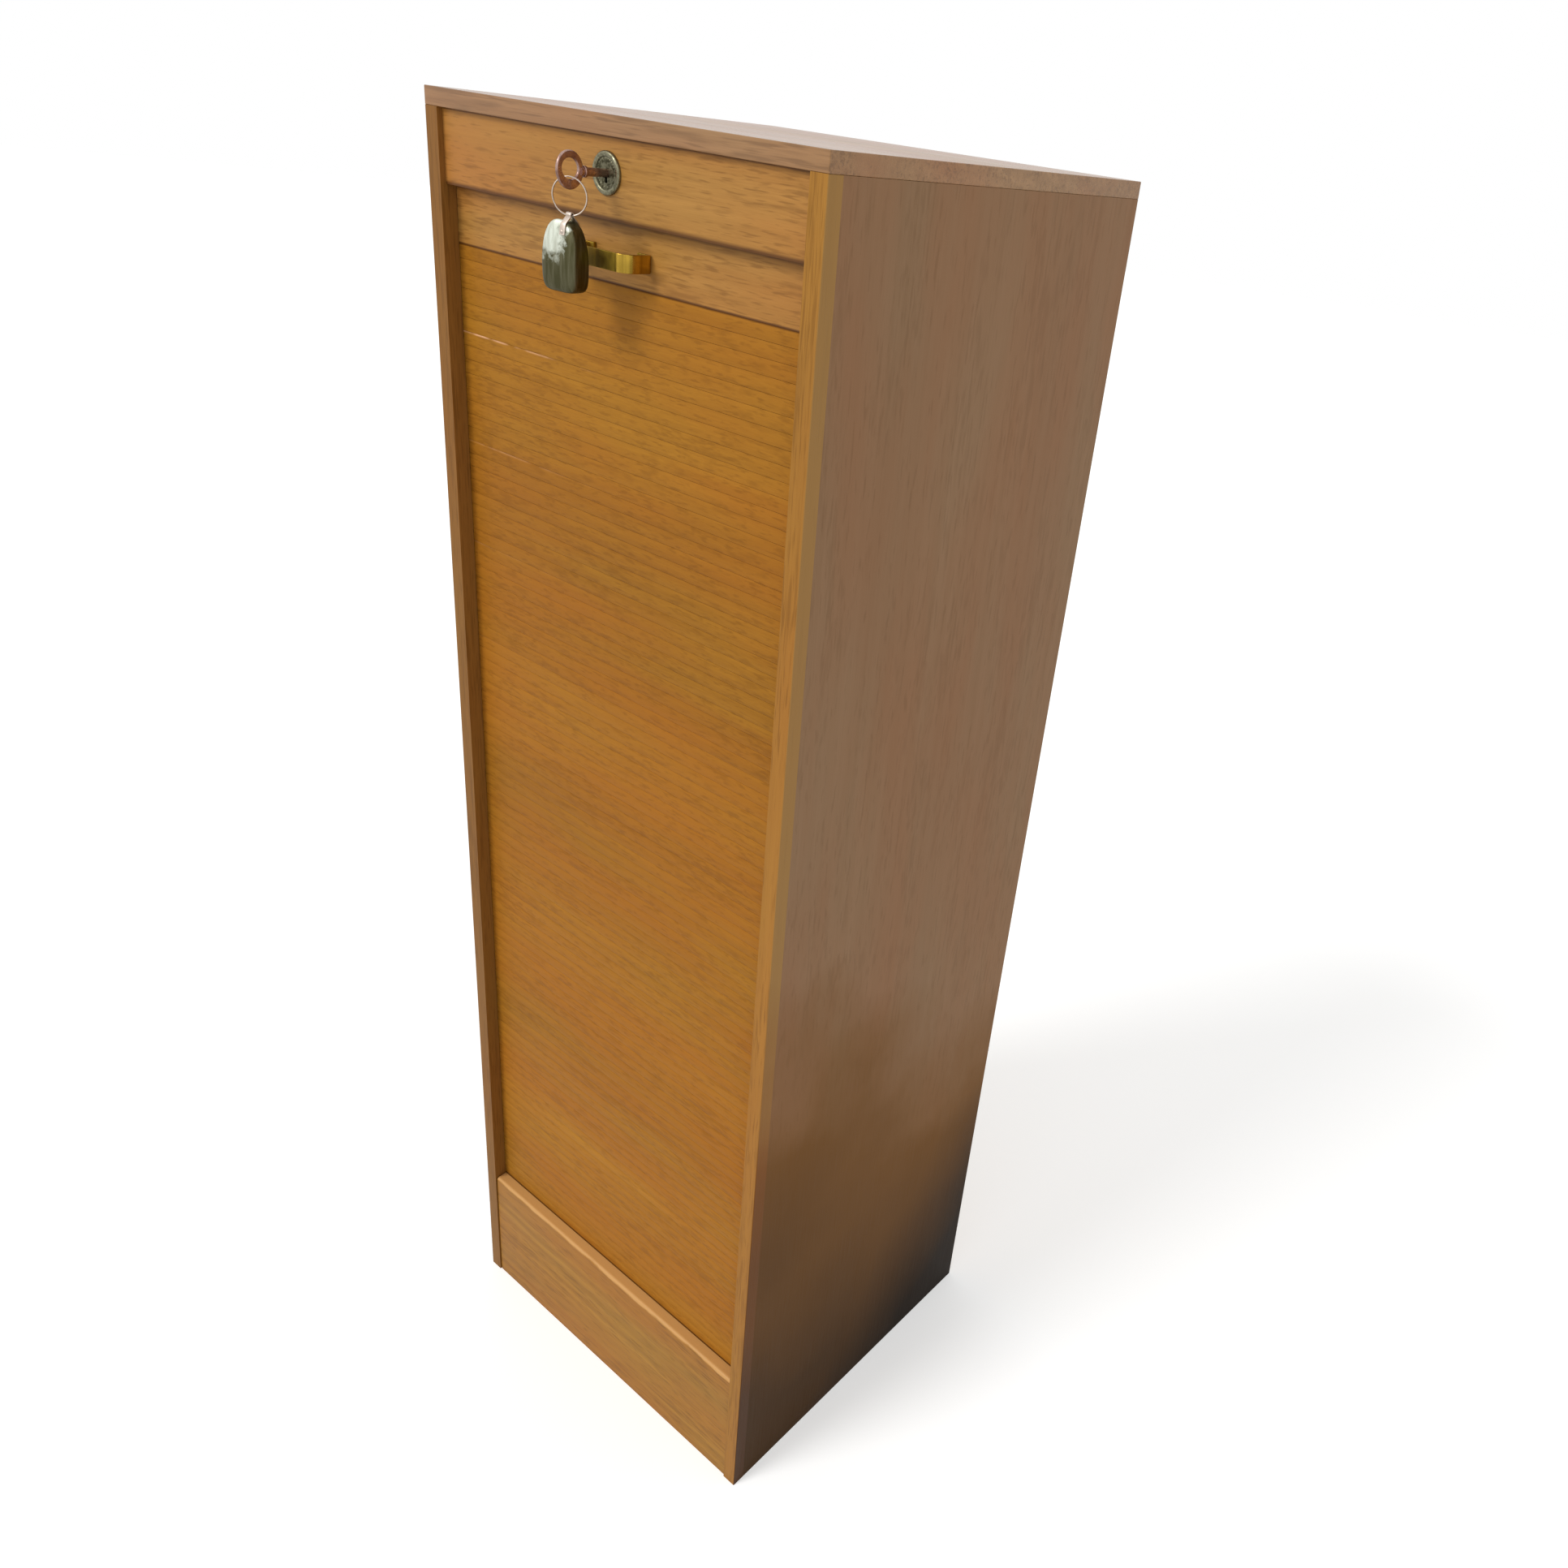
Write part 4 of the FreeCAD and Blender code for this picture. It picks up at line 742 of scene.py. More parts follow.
def new_tree(name, numbers, whole):
    """A Geometry Nodes tree with named inputs, some of them whole numbers, and their sockets."""
    tree = bpy.data.node_groups.new(name, "GeometryNodeTree")
    tree.interface.new_socket("Geometry", in_out="OUTPUT", socket_type="NodeSocketGeometry")
    for labels, kind in ((numbers, "NodeSocketFloat"), (whole, "NodeSocketInt")):
        for label in labels:
            tree.interface.new_socket(label, in_out="INPUT", socket_type=kind)
    entry = tree.nodes.new("NodeGroupInput")
    return Graph(tree), {label: entry.outputs[label] for label in (*numbers, *whole)}


def close_tree(graph, geometry, material):
    """Ends a tree in real geometry that carries its material."""
    real = graph.add("GeometryNodeRealizeInstances", {"Geometry": geometry})
    dressed = graph.add("GeometryNodeSetMaterial", {"Geometry": real, "Material": material})
    end = graph.tree.nodes.new("NodeGroupOutput")
    graph.tree.links.new(dressed, end.inputs["Geometry"])
    return graph.tree


def slat_tree(material):
    """Slats one above the other with eased edges, toned in leaves that follow one another."""
    graph, given = new_tree("curtain_slats", (
        "Pitch", "Joint", "Thickness", "Length", "Rounding", "Depth", "Start", "Leaf",
        "Above Leaf"), whole=("Count", "Seed"))
    height = graph.minus(given["Pitch"], given["Joint"])
    section = graph.add("GeometryNodeCurvePrimitiveQuadrilateral", {
        "Width": given["Thickness"], "Height": height})
    eased = graph.add("GeometryNodeFilletCurve", {
        "Curve": section, "Count": 2, "Radius": given["Rounding"]}, mode="POLY")
    half = graph.times(given["Length"], 0.5)
    line = graph.add("GeometryNodeCurvePrimitiveLine", {
        "Start": graph.vector(X=graph.times(half, -1.0)), "End": graph.vector(X=half)})
    slat = graph.add("GeometryNodeCurveToMesh", {
        "Curve": line, "Profile Curve": eased, "Fill Caps": True})
    level = graph.axis(graph.add("GeometryNodeInputPosition"), "Z")
    across = graph.math("DIVIDE", level, graph.times(height, 0.5))
    slat = graph.store(slat, "across", across, "POINT")
    middle = graph.plus(given["Start"], graph.times(given["Pitch"], 0.5))
    places = graph.add("GeometryNodeMeshLine", {
        "Count": given["Count"], "Start Location": graph.vector(Y=given["Depth"], Z=middle),
        "Offset": graph.vector(Z=given["Pitch"])})
    slats = graph.add("GeometryNodeInstanceOnPoints", {"Points": places, "Instance": slat})
    index = graph.add("GeometryNodeInputIndex")
    from_top = graph.minus(given["Count"], index)
    from_top = graph.minus(from_top, given["Above Leaf"])
    leaf = graph.math("CEIL", graph.math("DIVIDE", from_top, given["Leaf"]))
    own_reach = 0.25
    leaf_tone = graph.random(-1.0, 1.0, given["Seed"], leaf)
    own_tone = graph.random(-own_reach, own_reach, given["Seed"], index)
    slats = graph.store(slats, "slat_tone", graph.plus(leaf_tone, own_tone), "INSTANCE")
    # Which slats get a pale top arris, partly wear and partly painted highlight
    in_leaf = graph.math("FLOORED_MODULO", from_top, given["Leaf"])
    first_of_leaf = graph.math("COMPARE", in_leaf, 1.0)
    fainter = 0.3
    fading = graph.math("POWER", fainter, graph.minus(leaf, 1.0))
    slats = graph.store(slats, "worn", graph.times(first_of_leaf, fading), "INSTANCE")
    return close_tree(graph, slats, material)


def screw_tree(material):
    """Two rows of flush slotted screws, one down each edge of the back."""
    graph, given = new_tree("back_screws", (
        "Spacing", "Half Width", "Face", "Start", "Head", "Neck", "Slot"), whole=("Count",))
    depth = graph.minus(given["Head"], given["Neck"])
    cone = graph.add("GeometryNodeMeshCone", {
        "Vertices": 32, "Radius Top": given["Head"], "Radius Bottom": given["Neck"],
        "Depth": depth})
    slot_size = graph.vector(X=graph.times(given["Head"], 3.0), Y=given["Slot"], Z=given["Slot"])
    slot_bar = graph.add("GeometryNodeMeshCube", {"Size": slot_size})
    slot_bar = graph.add("GeometryNodeTransform", {
        "Geometry": slot_bar, "Translation": graph.vector(Z=depth)})
    head = graph.add("GeometryNodeMeshBoolean", {
        "Mesh 1": cone, "Mesh 2": slot_bar}, operation="DIFFERENCE", solver="EXACT")
    head = graph.add("GeometryNodeTransform", {
        "Geometry": head, "Translation": graph.vector(Z=graph.times(depth, -1.0))})
    head = graph.add("GeometryNodeTransform", {
        "Geometry": head, "Rotation": (math.radians(-90), 0, 0)})
    step = graph.vector(Z=given["Spacing"])
    rows = []
    for side in (-1.0, 1.0):
        aside = graph.times(given["Half Width"], side)
        start = graph.vector(X=aside, Y=given["Face"], Z=given["Start"])
        rows.append(graph.add("GeometryNodeMeshLine", {
            "Count": given["Count"], "Start Location": start, "Offset": step}))
    joined = graph.add("GeometryNodeJoinGeometry", {"Geometry": rows[0]})
    graph.tree.links.new(rows[1], graph.tree.nodes[-1].inputs["Geometry"])
    turn = graph.random(0.0, math.pi, SCREW_SEED, graph.add("GeometryNodeInputIndex"))
    screws = graph.add("GeometryNodeInstanceOnPoints", {
        "Points": joined, "Instance": head, "Rotation": graph.vector(Y=turn)})
    return close_tree(graph, screws, material)


def colour_property(name, description, default):
    return bpy.props.FloatVectorProperty(
        name=name, description=description, default=default, subtype="COLOR_GAMMA", size=3,
        min=0, max=1)


def length_property(name, description, default):
    return bpy.props.FloatProperty(
        name=name, description=description, default=default, unit="LENGTH", subtype="DISTANCE",
        min=0)


class CabinetWoods(bpy.types.PropertyGroup):
    """Colours of the woods, as they show on screen."""

    side: colour_property("Side", "Veneer of the two sides", (0.550, 0.424, 0.300))
    top: colour_property("Top", "Board on top of the case", (0.580, 0.428, 0.262))
    front: colour_property("Front", "Fascia and lead rail", (0.645, 0.462, 0.215))
    plinth: colour_property("Plinth", "Plinth board under the curtain", (0.600, 0.425, 0.145))
    lipping: colour_property("Lipping", "Front edge of the right side", (0.605, 0.420, 0.165))
    lipping_left: colour_property(
        "Left lipping", "Front edge of the left side, which is darker", (0.515, 0.352, 0.150))
    slat: colour_property("Slats", "Slats of the curtain", (0.605, 0.405, 0.115))
    tray: colour_property("Trays", "Fronts and walls of the trays", (0.760, 0.590, 0.370))
    plywood: colour_property("Plywood", "Floor, backs and tray bottoms", (0.740, 0.590, 0.400))
    softwood: colour_property("Softwood", "Cleats, battens and bearers", (0.780, 0.650, 0.450))
    canvas: colour_property("Canvas", "Cloth behind the slats", (0.450, 0.390, 0.300))


class CabinetMetals(bpy.types.PropertyGroup):
    """Colours of the metals, as they show on screen."""

    brass: colour_property("Brass", "The pull and the strike plate", (0.760, 0.620, 0.250))
    steel: colour_property("Steel", "Screws, lock plate and hook", (0.620, 0.620, 0.600))
    nickel: colour_property("Nickel", "Collar and plug of the lock", (0.560, 0.545, 0.450))
    key: colour_property("Key", "The key", (0.720, 0.600, 0.560))
    ring: colour_property("Ring", "The split ring and the strap of the fob", (0.830, 0.770, 0.720))
    pewter: colour_property("Fob", "The fob", (0.900, 0.920, 0.860))


class CabinetCurtain(bpy.types.PropertyGroup):
    """Sizes of the curtain's slats."""

    count: bpy.props.IntProperty(
        name="Slats", description="Slats between the rail and the bend", default=93, min=1)
    joint: length_property("Joint", "Space between two slats", 0.15 * MM)
    rounding: length_property("Rounding", "Radius of a slat's edges", 0.2 * MM)
    leaf: bpy.props.IntProperty(
        name="Leaf", description="Slats cut from one leaf of veneer", default=8, min=1)
    above_leaf: bpy.props.IntProperty(
        name="Above first leaf", description="Slats between the rail and the first whole leaf",
        default=6)
    seed: bpy.props.IntProperty(
        name="Seed", description="Order of the tones of the slats", default=7)


class CabinetFittings(bpy.types.PropertyGroup):
    """Sizes of the pull, the lock and what hangs in it."""

    strip: length_property("Strip", "Thickness of the brass strip", 2.5 * MM)
    front_bend: length_property("Front bend", "Outer radius of the front corners", 11.0 * MM)
    foot_bend: length_property("Foot bend", "Outer radius of the rear corners", 3.2 * MM)
    foot: length_property("Foot", "Length of each foot of the pull", 14.0 * MM)
    dish: length_property("Dish", "Radius of the hollow in the collar", 11.0 * MM)
    hollow: length_property("Hollow", "Depth of the hollow in the collar", 1.3 * MM)
    barrel: length_property("Barrel", "Radius of the collar's barrel in the fascia", 10.0 * MM)
    teeth: bpy.props.IntProperty(
        name="Teeth", description="Teeth of the milled ring in the collar", default=28)
    bow_width: length_property("Bow width", "Width of the key's bow", 23.0 * MM)
    bow_height: length_property("Bow height", "Height of the key's bow", 25.8 * MM)
    bow_hole: length_property("Bow hole", "Width of the hole in the bow", 13.8 * MM)
    hole_rise: length_property("Hole rise", "How far the hole sits over the centre", 0.9 * MM)
    key_plate: length_property("Key plate", "Thickness of the bow and the bit", 2.4 * MM)
    shank: length_property("Shank", "Thickness of the key's shank", 6.0 * MM)
    neck: length_property("Neck", "Thickness of the shank at the bow", 8.0 * MM)
    neck_length: length_property("Neck length", "Length of the thicker neck", 2.5 * MM)
    bit_length: length_property("Bit length", "Length of the key's bit", 7.0 * MM)
    bit_drop: length_property("Bit drop", "How far the bit reaches under the axis", 6.5 * MM)
    ring_wire: length_property("Ring wire", "Thickness of the ring's two turns", 1.7 * MM)
    wire: length_property("Wire", "Thickness of one turn of the split ring", 0.9 * MM)


class CabinetFob(bpy.types.PropertyGroup):
    """Sizes of the fob and its strap."""

    turn: bpy.props.FloatProperty(
        name="Turn", description="Turn of the fob about the upright", default=math.radians(8),
        subtype="ANGLE")
    width: length_property("Width", "Greatest width of the fob", 33.0 * MM)
    depth: length_property("Depth", "Greatest thickness of the fob", 19.5 * MM)
    widest: length_property("Widest", "Height of the widest place over the foot", 19.0 * MM)
    lean: bpy.props.FloatProperty(
        name="Lean", description="Share of the depth that is lost towards the top", default=0.36,
        min=0, max=0.9)
    strap: length_property("Strap", "Thickness of the strap", 0.8 * MM)
    strap_width: length_property("Strap width", "Width of the strap", 5.0 * MM)
    strap_drop: length_property("Strap drop", "How far it reaches down each face", 10.0 * MM)
    aside: length_property("Aside", "How far the strap sits from the fob's middle", 5.0 * MM)


class CabinetStudio(bpy.types.PropertyGroup):
    """Light and floor round the cabinet."""

    key: bpy.props.FloatProperty(
        name="Key lamp", description="Strength of the main lamp", default=1.6, min=0)
    fill: bpy.props.FloatProperty(
        name="Fill lamp", description="Strength of the side lamp", default=0.25, min=0)
    sky: bpy.props.FloatProperty(
        name="Sky", description="Light from all round", default=0.62, min=0)
    floor: colour_property("Floor", "Colour of the floor", (0.93, 0.93, 0.925))


class CABINET_OT_case(bpy.types.Operator):
    """Give the boards of the case their finishes"""

    bl_idname = "cabinet.case"
    bl_label = "Case"

    def execute(self, context):
        finish_nodes(
            "oak_side", "side_left", "side_right", "back_lipping_left", "back_lipping_right")
        finish_nodes("oak_top", "top_panel")
        finish_nodes("oak_lipping", "front_lipping_right")
        finish_nodes("oak_lipping_left", "front_lipping_left")
        finish_nodes("oak_front", "fascia")
        finish_nodes("oak_plinth", "plinth")
        finish_nodes("plywood", "base_board", "carcass_floor", "inner_back", "back_panel")
        finish_nodes(
            "softwood", "tray_cleats", "floor_bearers", "base_battens", "carcass_dowels")
        finish_nodes("steel", "carcass_screws")
        return {"FINISHED"}


class CABINET_OT_curtain(bpy.types.Operator):
    """Build the slats of the curtain and finish its canvas"""

    bl_idname = "cabinet.curtain"
    bl_label = "Curtain"

    def execute(self, context):
        sizes = context.scene.cabinet_curtain
        low, high = SLATS
        bottom = CANVAS[0].z
        mesh = run_tree("curtain_slats", slat_tree(finish("oak_slat")), {
            "Count": sizes.count, "Pitch": (RAIL[0].z - bottom) / sizes.count,
            "Joint": sizes.joint, "Thickness": high.y - low.y, "Length": high.x - low.x,
            "Rounding": sizes.rounding, "Depth": (low.y + high.y) / 2, "Start": bottom,
            "Leaf": sizes.leaf, "Above Leaf": sizes.above_leaf, "Seed": sizes.seed})
        slats = new_piece(
            "curtain_slats", mesh, "carcass", "tambour_slats", "oak_slat", crease=50)
        low, high = CANVAS
        ease = 0.3 * (high.y - low.y)
        work = bmesh.new()
        add_box(work, low, high)
        bmesh.ops.bevel(work, geom=work.edges[:], offset=ease, segments=2, affect="EDGES")
        sheet = new_piece(
            "curtain_cloth", to_mesh(work), "carcass", "tambour_canvas", "canvas")
        for piece in (slats, sheet):
            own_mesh(piece)
        finish_nodes("oak_slat", "tail_slats")
        finish_nodes("canvas", "tail_canvas")
        return {"FINISHED"}


class CABINET_OT_rail(bpy.types.Operator):
    """Finish the lead rail and bend its brass pull"""

    bl_idname = "cabinet.rail"
    bl_label = "Lead rail and pull"

    def execute(self, context):
        sizes = context.scene.cabinet_fittings
        finish_nodes("oak_front", "lead_rail")
        finish_nodes("brass", "strike_plate")
        finish_nodes("steel", "rail_screws")
        low, high = PULL
        half = sizes.strip / 2
        edge = high.x - half
        front = low.y + half
        rear = high.y - half
        front_radius = sizes.front_bend - half
        foot_radius = sizes.foot_bend - half
        foot_end = high.x - sizes.foot
        right = [(foot_end, rear)]
        right += arc((edge - foot_radius, rear - foot_radius), foot_radius, 90, 0, 6)
        right += arc((edge - front_radius, front + front_radius), front_radius, 0, -90, 12)
        flat = right + [(-x, y) for x, y in reversed(right)]
        middle = (low.z + high.z) / 2
        path = [Vector((x, y, middle)) for x, y in flat]
        ease = 0.45 * MM
        section = rounded_section(high.z - low.z, sizes.strip, ease)
        work = bmesh.new()
        sweep(work, path, Vector((0, 0, 1)), section)
        new_piece("brass_pull", to_mesh(work), "shutter", "pull_handle", "brass")
        return {"FINISHED"}


class CABINET_OT_lock(bpy.types.Operator):
    """Turn the collar of the lock and finish its works"""

    bl_idname = "cabinet.lock"
    bl_label = "Lock"

    def execute(self, context):
        sizes = context.scene.cabinet_fittings
        centre = Vector((0, 0, LOCK_HEIGHT))
        work = bmesh.new()
        turned(work, lambda angle: collar_outline(sizes, angle), centre, steps=168)
        new_piece("lock_ring", to_mesh(work), "carcass", "lock_collar", "nickel")
        finish_nodes("nickel", "lock_plug")
        finish_nodes("steel", "lock_plate", "lock_hook", "hook_screw")
        return {"FINISHED"}


def collar_outline(sizes, angle):
    """Half of the collar's section: barrel, hollow with a milled ring in it, and rounded rim."""
    low, high = COLLAR
    face = low.y
    radius = (high.z - low.z) / 2
    play = 0.08 * MM
    tooth = 0.35 * MM
    rim = 1.6 * MM
    bore = (PLUG[1].z - PLUG[0].z) / 2 + play
    floor = face + sizes.hollow
    milled = floor - tooth * (0.5 + 0.5 * math.cos(sizes.teeth * angle))
    ring = ((0, floor + 0.2 * MM), (0.2, floor), (0.7, floor), (1.1, milled), (2.0, milled))
    points = [(bore, high.y)]
    points += [(bore + out * MM, y) for out, y in (*ring, (2.4, floor))]
    crest = (sizes.dish + radius) / 2
    half = radius - crest
    inner = arc((0, 0), 1.0, 180, 270, 6)
    points += [(crest + half * a, floor + sizes.hollow * b) for a, b in inner]
    outer = arc((0, 0), 1.0, 270, 360, 6)[1:]
    points += [(crest + half * a, face + rim * (1 + b)) for a, b in outer]
    points += [(radius, FASCIA[0].y), (sizes.barrel, FASCIA[0].y), (sizes.barrel, high.y)]
    return points


class CABINET_OT_key(bpy.types.Operator):
    """Shape the key, from its rounded bow to its bit"""

    bl_idname = "cabinet.key"
    bl_label = "Key"

    def execute(self, context):
        sizes = context.scene.cabinet_fittings
        work = bmesh.new()
        add_bow(work, sizes)
        add_shank(work, sizes)
        add_bit(work, sizes)
        new_piece("door_key", to_mesh(work), "key_and_plug", "key", "key_metal")
        return {"FINISHED"}


def bow_centre(sizes):
    return Vector((0, KEY[0].y + sizes.bow_width / 2, KEY[1].z - sizes.bow_height / 2))


def add_bow(work, sizes):
    """An oval plate with soft edges round a hole that sits a little high."""
    centre = bow_centre(sizes)
    ease = 1.0 * MM
    steps = 72
    rings = []
    for step in range(steps):
        turn = 2 * math.pi * step / steps
        way = Vector((0, math.cos(turn), math.sin(turn)))
        outer = centre + Vector((0, way.y * sizes.bow_width / 2, way.z * sizes.bow_height / 2))
        inner = centre + Vector((0, 0, sizes.hole_rise)) + way * sizes.bow_hole / 2
        out = outer - inner
        section = rounded_section(sizes.key_plate, out.length, ease, steps=5)
        middle = (outer + inner) / 2
        rings.append([middle + Vector((a, 0, 0)) + out.normalized() * b for a, b in section])
    skin(work, rings, closed=True)


def add_shank(work, sizes):
    """The round shank, with the collar at its neck."""
    shank = sizes.shank / 2
    neck = sizes.neck / 2
    ease = 0.4 * MM
    neck_start = bow_centre(sizes).y + sizes.bow_width / 2
    start = neck_start - sizes.neck_length
    neck_end = neck_start + sizes.neck_length
    end = KEY[1].y
    outline = [(0, start), (shank, start), (shank, neck_start)]
    outline += arc((neck - ease, neck_start + ease), ease, 270, 360, 3)
    outline += arc((neck - ease, neck_end - ease), ease, 0, 90, 3)
    outline += [(shank, neck_end), (shank, end - ease)]
    outline += arc((shank - ease, end - ease), ease, 0, 90, 3)
    outline += [(0, end)]
    turned(work, outline, Vector((0, 0, LOCK_HEIGHT)), steps=40, whole=False)


def add_bit(work, sizes):
    start = KEY[1].y - sizes.bit_length
    low = Vector((-sizes.key_plate / 2, start, LOCK_HEIGHT - sizes.bit_drop))
    add_box(work, low, Vector((sizes.key_plate / 2, KEY[1].y, LOCK_HEIGHT)))


class CABINET_OT_ring(bpy.types.Operator):
    """Wind the split ring in two touching turns"""

    bl_idname = "cabinet.ring"
    bl_label = "Split ring"

    def execute(self, context):
        sizes = context.scene.cabinet_fittings
        low, high = RING
        centre = (low + high) / 2
        radius = (high.z - low.z) / 2 - sizes.wire / 2
        axis = Vector((-math.sin(RING_TURN), math.cos(RING_TURN), 0))
        side = Vector((math.cos(RING_TURN), math.sin(RING_TURN), 0))
        up = Vector((0, 0, 1))
        turns = 1.96
        start = math.radians(215)
        steps = 150
        section = rounded_section(sizes.wire, sizes.wire, sizes.wire * 0.34, steps=3)
        rings = []
        for step in range(steps + 1):
            share = step / steps
            turn = 2 * math.pi * turns * share + start
            out = side * math.cos(turn) + up * math.sin(turn)
            shift = turn_offset(share) * (sizes.ring_wire - sizes.wire)
            point = centre + out * radius + axis * shift
            rings.append([point + axis * a + out * b for a, b in section])
        work = bmesh.new()
        skin(work, rings)
        new_piece("key_ring", to_mesh(work), "ring", "split_ring", "ring_steel")
        return {"FINISHED"}


def turn_offset(share):
    """Sideways place of the ring's wire: each turn lies flat, and a short step joins the two."""
    begin = 0.44
    length = 0.12
    step = min(max((share - begin) / length, 0.0), 1.0)
    return -0.5 + step * step * (3 - 2 * step)


class CABINET_OT_fob(bpy.types.Operator):
    """Shape the fob and fold its strap over the ring"""

    bl_idname = "cabinet.fob"
    bl_label = "Fob"

    def execute(self, context):
        sizes = context.scene.cabinet_fob
        low, high = FOB
        stand = Matrix.Translation(((low.x + high.x) / 2, (low.y + high.y) / 2, low.z))
        stand = stand @ Matrix.Rotation(sizes.turn, 4, "Z")
        work = bmesh.new()
        skin(work, fob_levels(sizes))
        bmesh.ops.transform(work, matrix=stand, verts=work.verts)
        new_piece("pewter_fob", to_mesh(work), "fob", "fob", "pewter", crease=60)
        work = bmesh.new()
        add_strap(work, sizes, context.scene.cabinet_fittings)
        bmesh.ops.transform(work, matrix=stand, verts=work.verts)
        new_piece("fob_strap", to_mesh(work), "fob", "fob_loop", "ring_steel")
        return {"FINISHED"}


def fob_height():
    return FOB[1].z - FOB[0].z


def fob_halves(sizes, height):
    """Half the width and half the depth of the fob at a height over its foot."""
    rise = (height - sizes.widest) / (fob_height() - sizes.widest)
    if rise >= 0:
        wide = (1 - rise ** 2.6) ** (1 / 2.6)
        deep = (1 - sizes.lean * rise ** 1.5) * (1 - rise ** 9) ** (1 / 9)
    else:
        fall = 1 - height / sizes.widest
        wide = (1 - 0.06 * fall ** 2) * (1 - fall ** 6) ** (1 / 6)
        deep = (1 - 0.08 * fall ** 2) * (1 - fall ** 6) ** (1 / 6)
    return sizes.width / 2 * wide, sizes.depth / 2 * deep


def fob_levels(sizes):
    """The fob's outline at heights that crowd together towards its foot and its crown."""
    rings = []
    steps = 22
    for step in range(-steps, steps + 1):
        share = math.sin(math.radians(88.5 * step / steps))
        reach = fob_height() - sizes.widest if share > 0 else sizes.widest
        height = sizes.widest + share * reach
        wide, deep = fob_halves(sizes, height)
        rings.append([Vector((x, y, height)) for x, y in soft_box(wide, deep)])
    return rings


def soft_box(wide, deep):
    """A rectangle with slightly bulging sides and round corners, as pairs."""
    sharpness = 5.0
    steps = 60
    points = []
    for step in range(steps):
        turn = 2 * math.pi * (step + 0.5) / steps
        across = math.copysign(abs(math.cos(turn)) ** (2 / sharpness), math.cos(turn))
        back = math.copysign(abs(math.sin(turn)) ** (2 / sharpness), math.sin(turn))
        points.append((wide * across, deep * back))
    return points


def add_strap(work, sizes, fittings):
    """A metal strap over the ring, from the fob's front to its back, riveted at each end."""
    top = fob_height()
    loop = fittings.ring_wire / 2 + sizes.strap
    ease = 0.25 * MM
    neck = 2.2 * MM
    eye = LOOP[1].z - FOB[0].z - fittings.ring_wire / 2 - neck
    rows = 10
    side = []
    for row in range(rows + 1):
        height = top - sizes.strap_drop + (sizes.strap_drop - neck) * row / rows
        side.append((fob_face(sizes, height) + sizes.strap * 0.4, height))
    side += arc((0, eye), loop, -35, 90, 12)
    flat = side + [(-y, z) for y, z in reversed(side[:-1])]
    path = [Vector((sizes.aside, y, z)) for y, z in flat]
    section = rounded_section(sizes.strap_width, sizes.strap, ease)
    sweep(work, path, Vector((1, 0, 0)), section)
    rivet_height = top - sizes.strap_drop + sizes.strap_width * 0.45
    reach = fob_face(sizes, rivet_height) + sizes.strap * 0.8
    dome = ((0, 0.9), (0.9, 0.75), (1.4, 0.35), (1.6, -0.3), (0, -0.3))
    for face in (-1, 1):
        outline = [(radius * MM, face * (reach + proud * MM)) for radius, proud in dome]
        turned(work, outline, Vector((sizes.aside, 0, rivet_height)), steps=28, whole=False)


def fob_face(sizes, height):
    """How far the fob's face stands from its middle where the strap lies on it."""
    wide, deep = fob_halves(sizes, height)
    share = min(sizes.aside / wide, 0.9)
    return deep * (1 - share ** 5) ** 0.2


class CABINET_OT_trays(bpy.types.Operator):
    """Give the paper trays their finishes"""

    bl_idname = "cabinet.trays"
    bl_label = "Trays"

    def execute(self, context):
        boards = {"front": "tray_front", "walls": "tray_wall", "bottom": "plywood"}
        for name in sorted(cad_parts):
            board = name.rsplit("_", 1)[-1]
            if name.startswith("tray_") and board in boards:
                finish_nodes(boards[board], name)
        return {"FINISHED"}


class CABINET_OT_screws(bpy.types.Operator):
    """Set the slotted screws down both edges of the back"""

    bl_idname = "cabinet.screws"
    bl_label = "Back screws"

    def execute(self, context):
        low, high = BACK_SCREWS
        head = 3.0 * MM
        slot = 0.9 * MM
        count = 6
        start = low.z + head
        end = high.z - head
        mesh = run_tree("back_screws", screw_tree(finish("steel")), {
            "Count": count, "Spacing": (end - start) / (count - 1), "Half Width": high.x - head,
            "Face": high.y, "Start": start, "Head": head, "Neck": head / 2, "Slot": slot})
        new_piece("back_screws", mesh, "carcass", "back_panel_screws", "steel")
        return {"FINISHED"}


class CABINET_OT_studio(bpy.types.Operator):
    """Set up the floor, the lamps, the sky and the camera"""

    bl_idname = "cabinet.studio"
    bl_label = "Studio"

    def execute(self, context):
        settings = context.scene.cabinet_studio
        context.scene.view_settings.view_transform = "Standard"
        add_floor(settings)
        add_sky(context, settings)
        add_sun("key_lamp", settings.key, Vector((0.28, 0.75, -0.62)), 22)
        add_sun("fill_lamp", settings.fill, Vector((-0.8, 0.35, -0.45)), 60)
        add_camera(context)
        return {"FINISHED"}


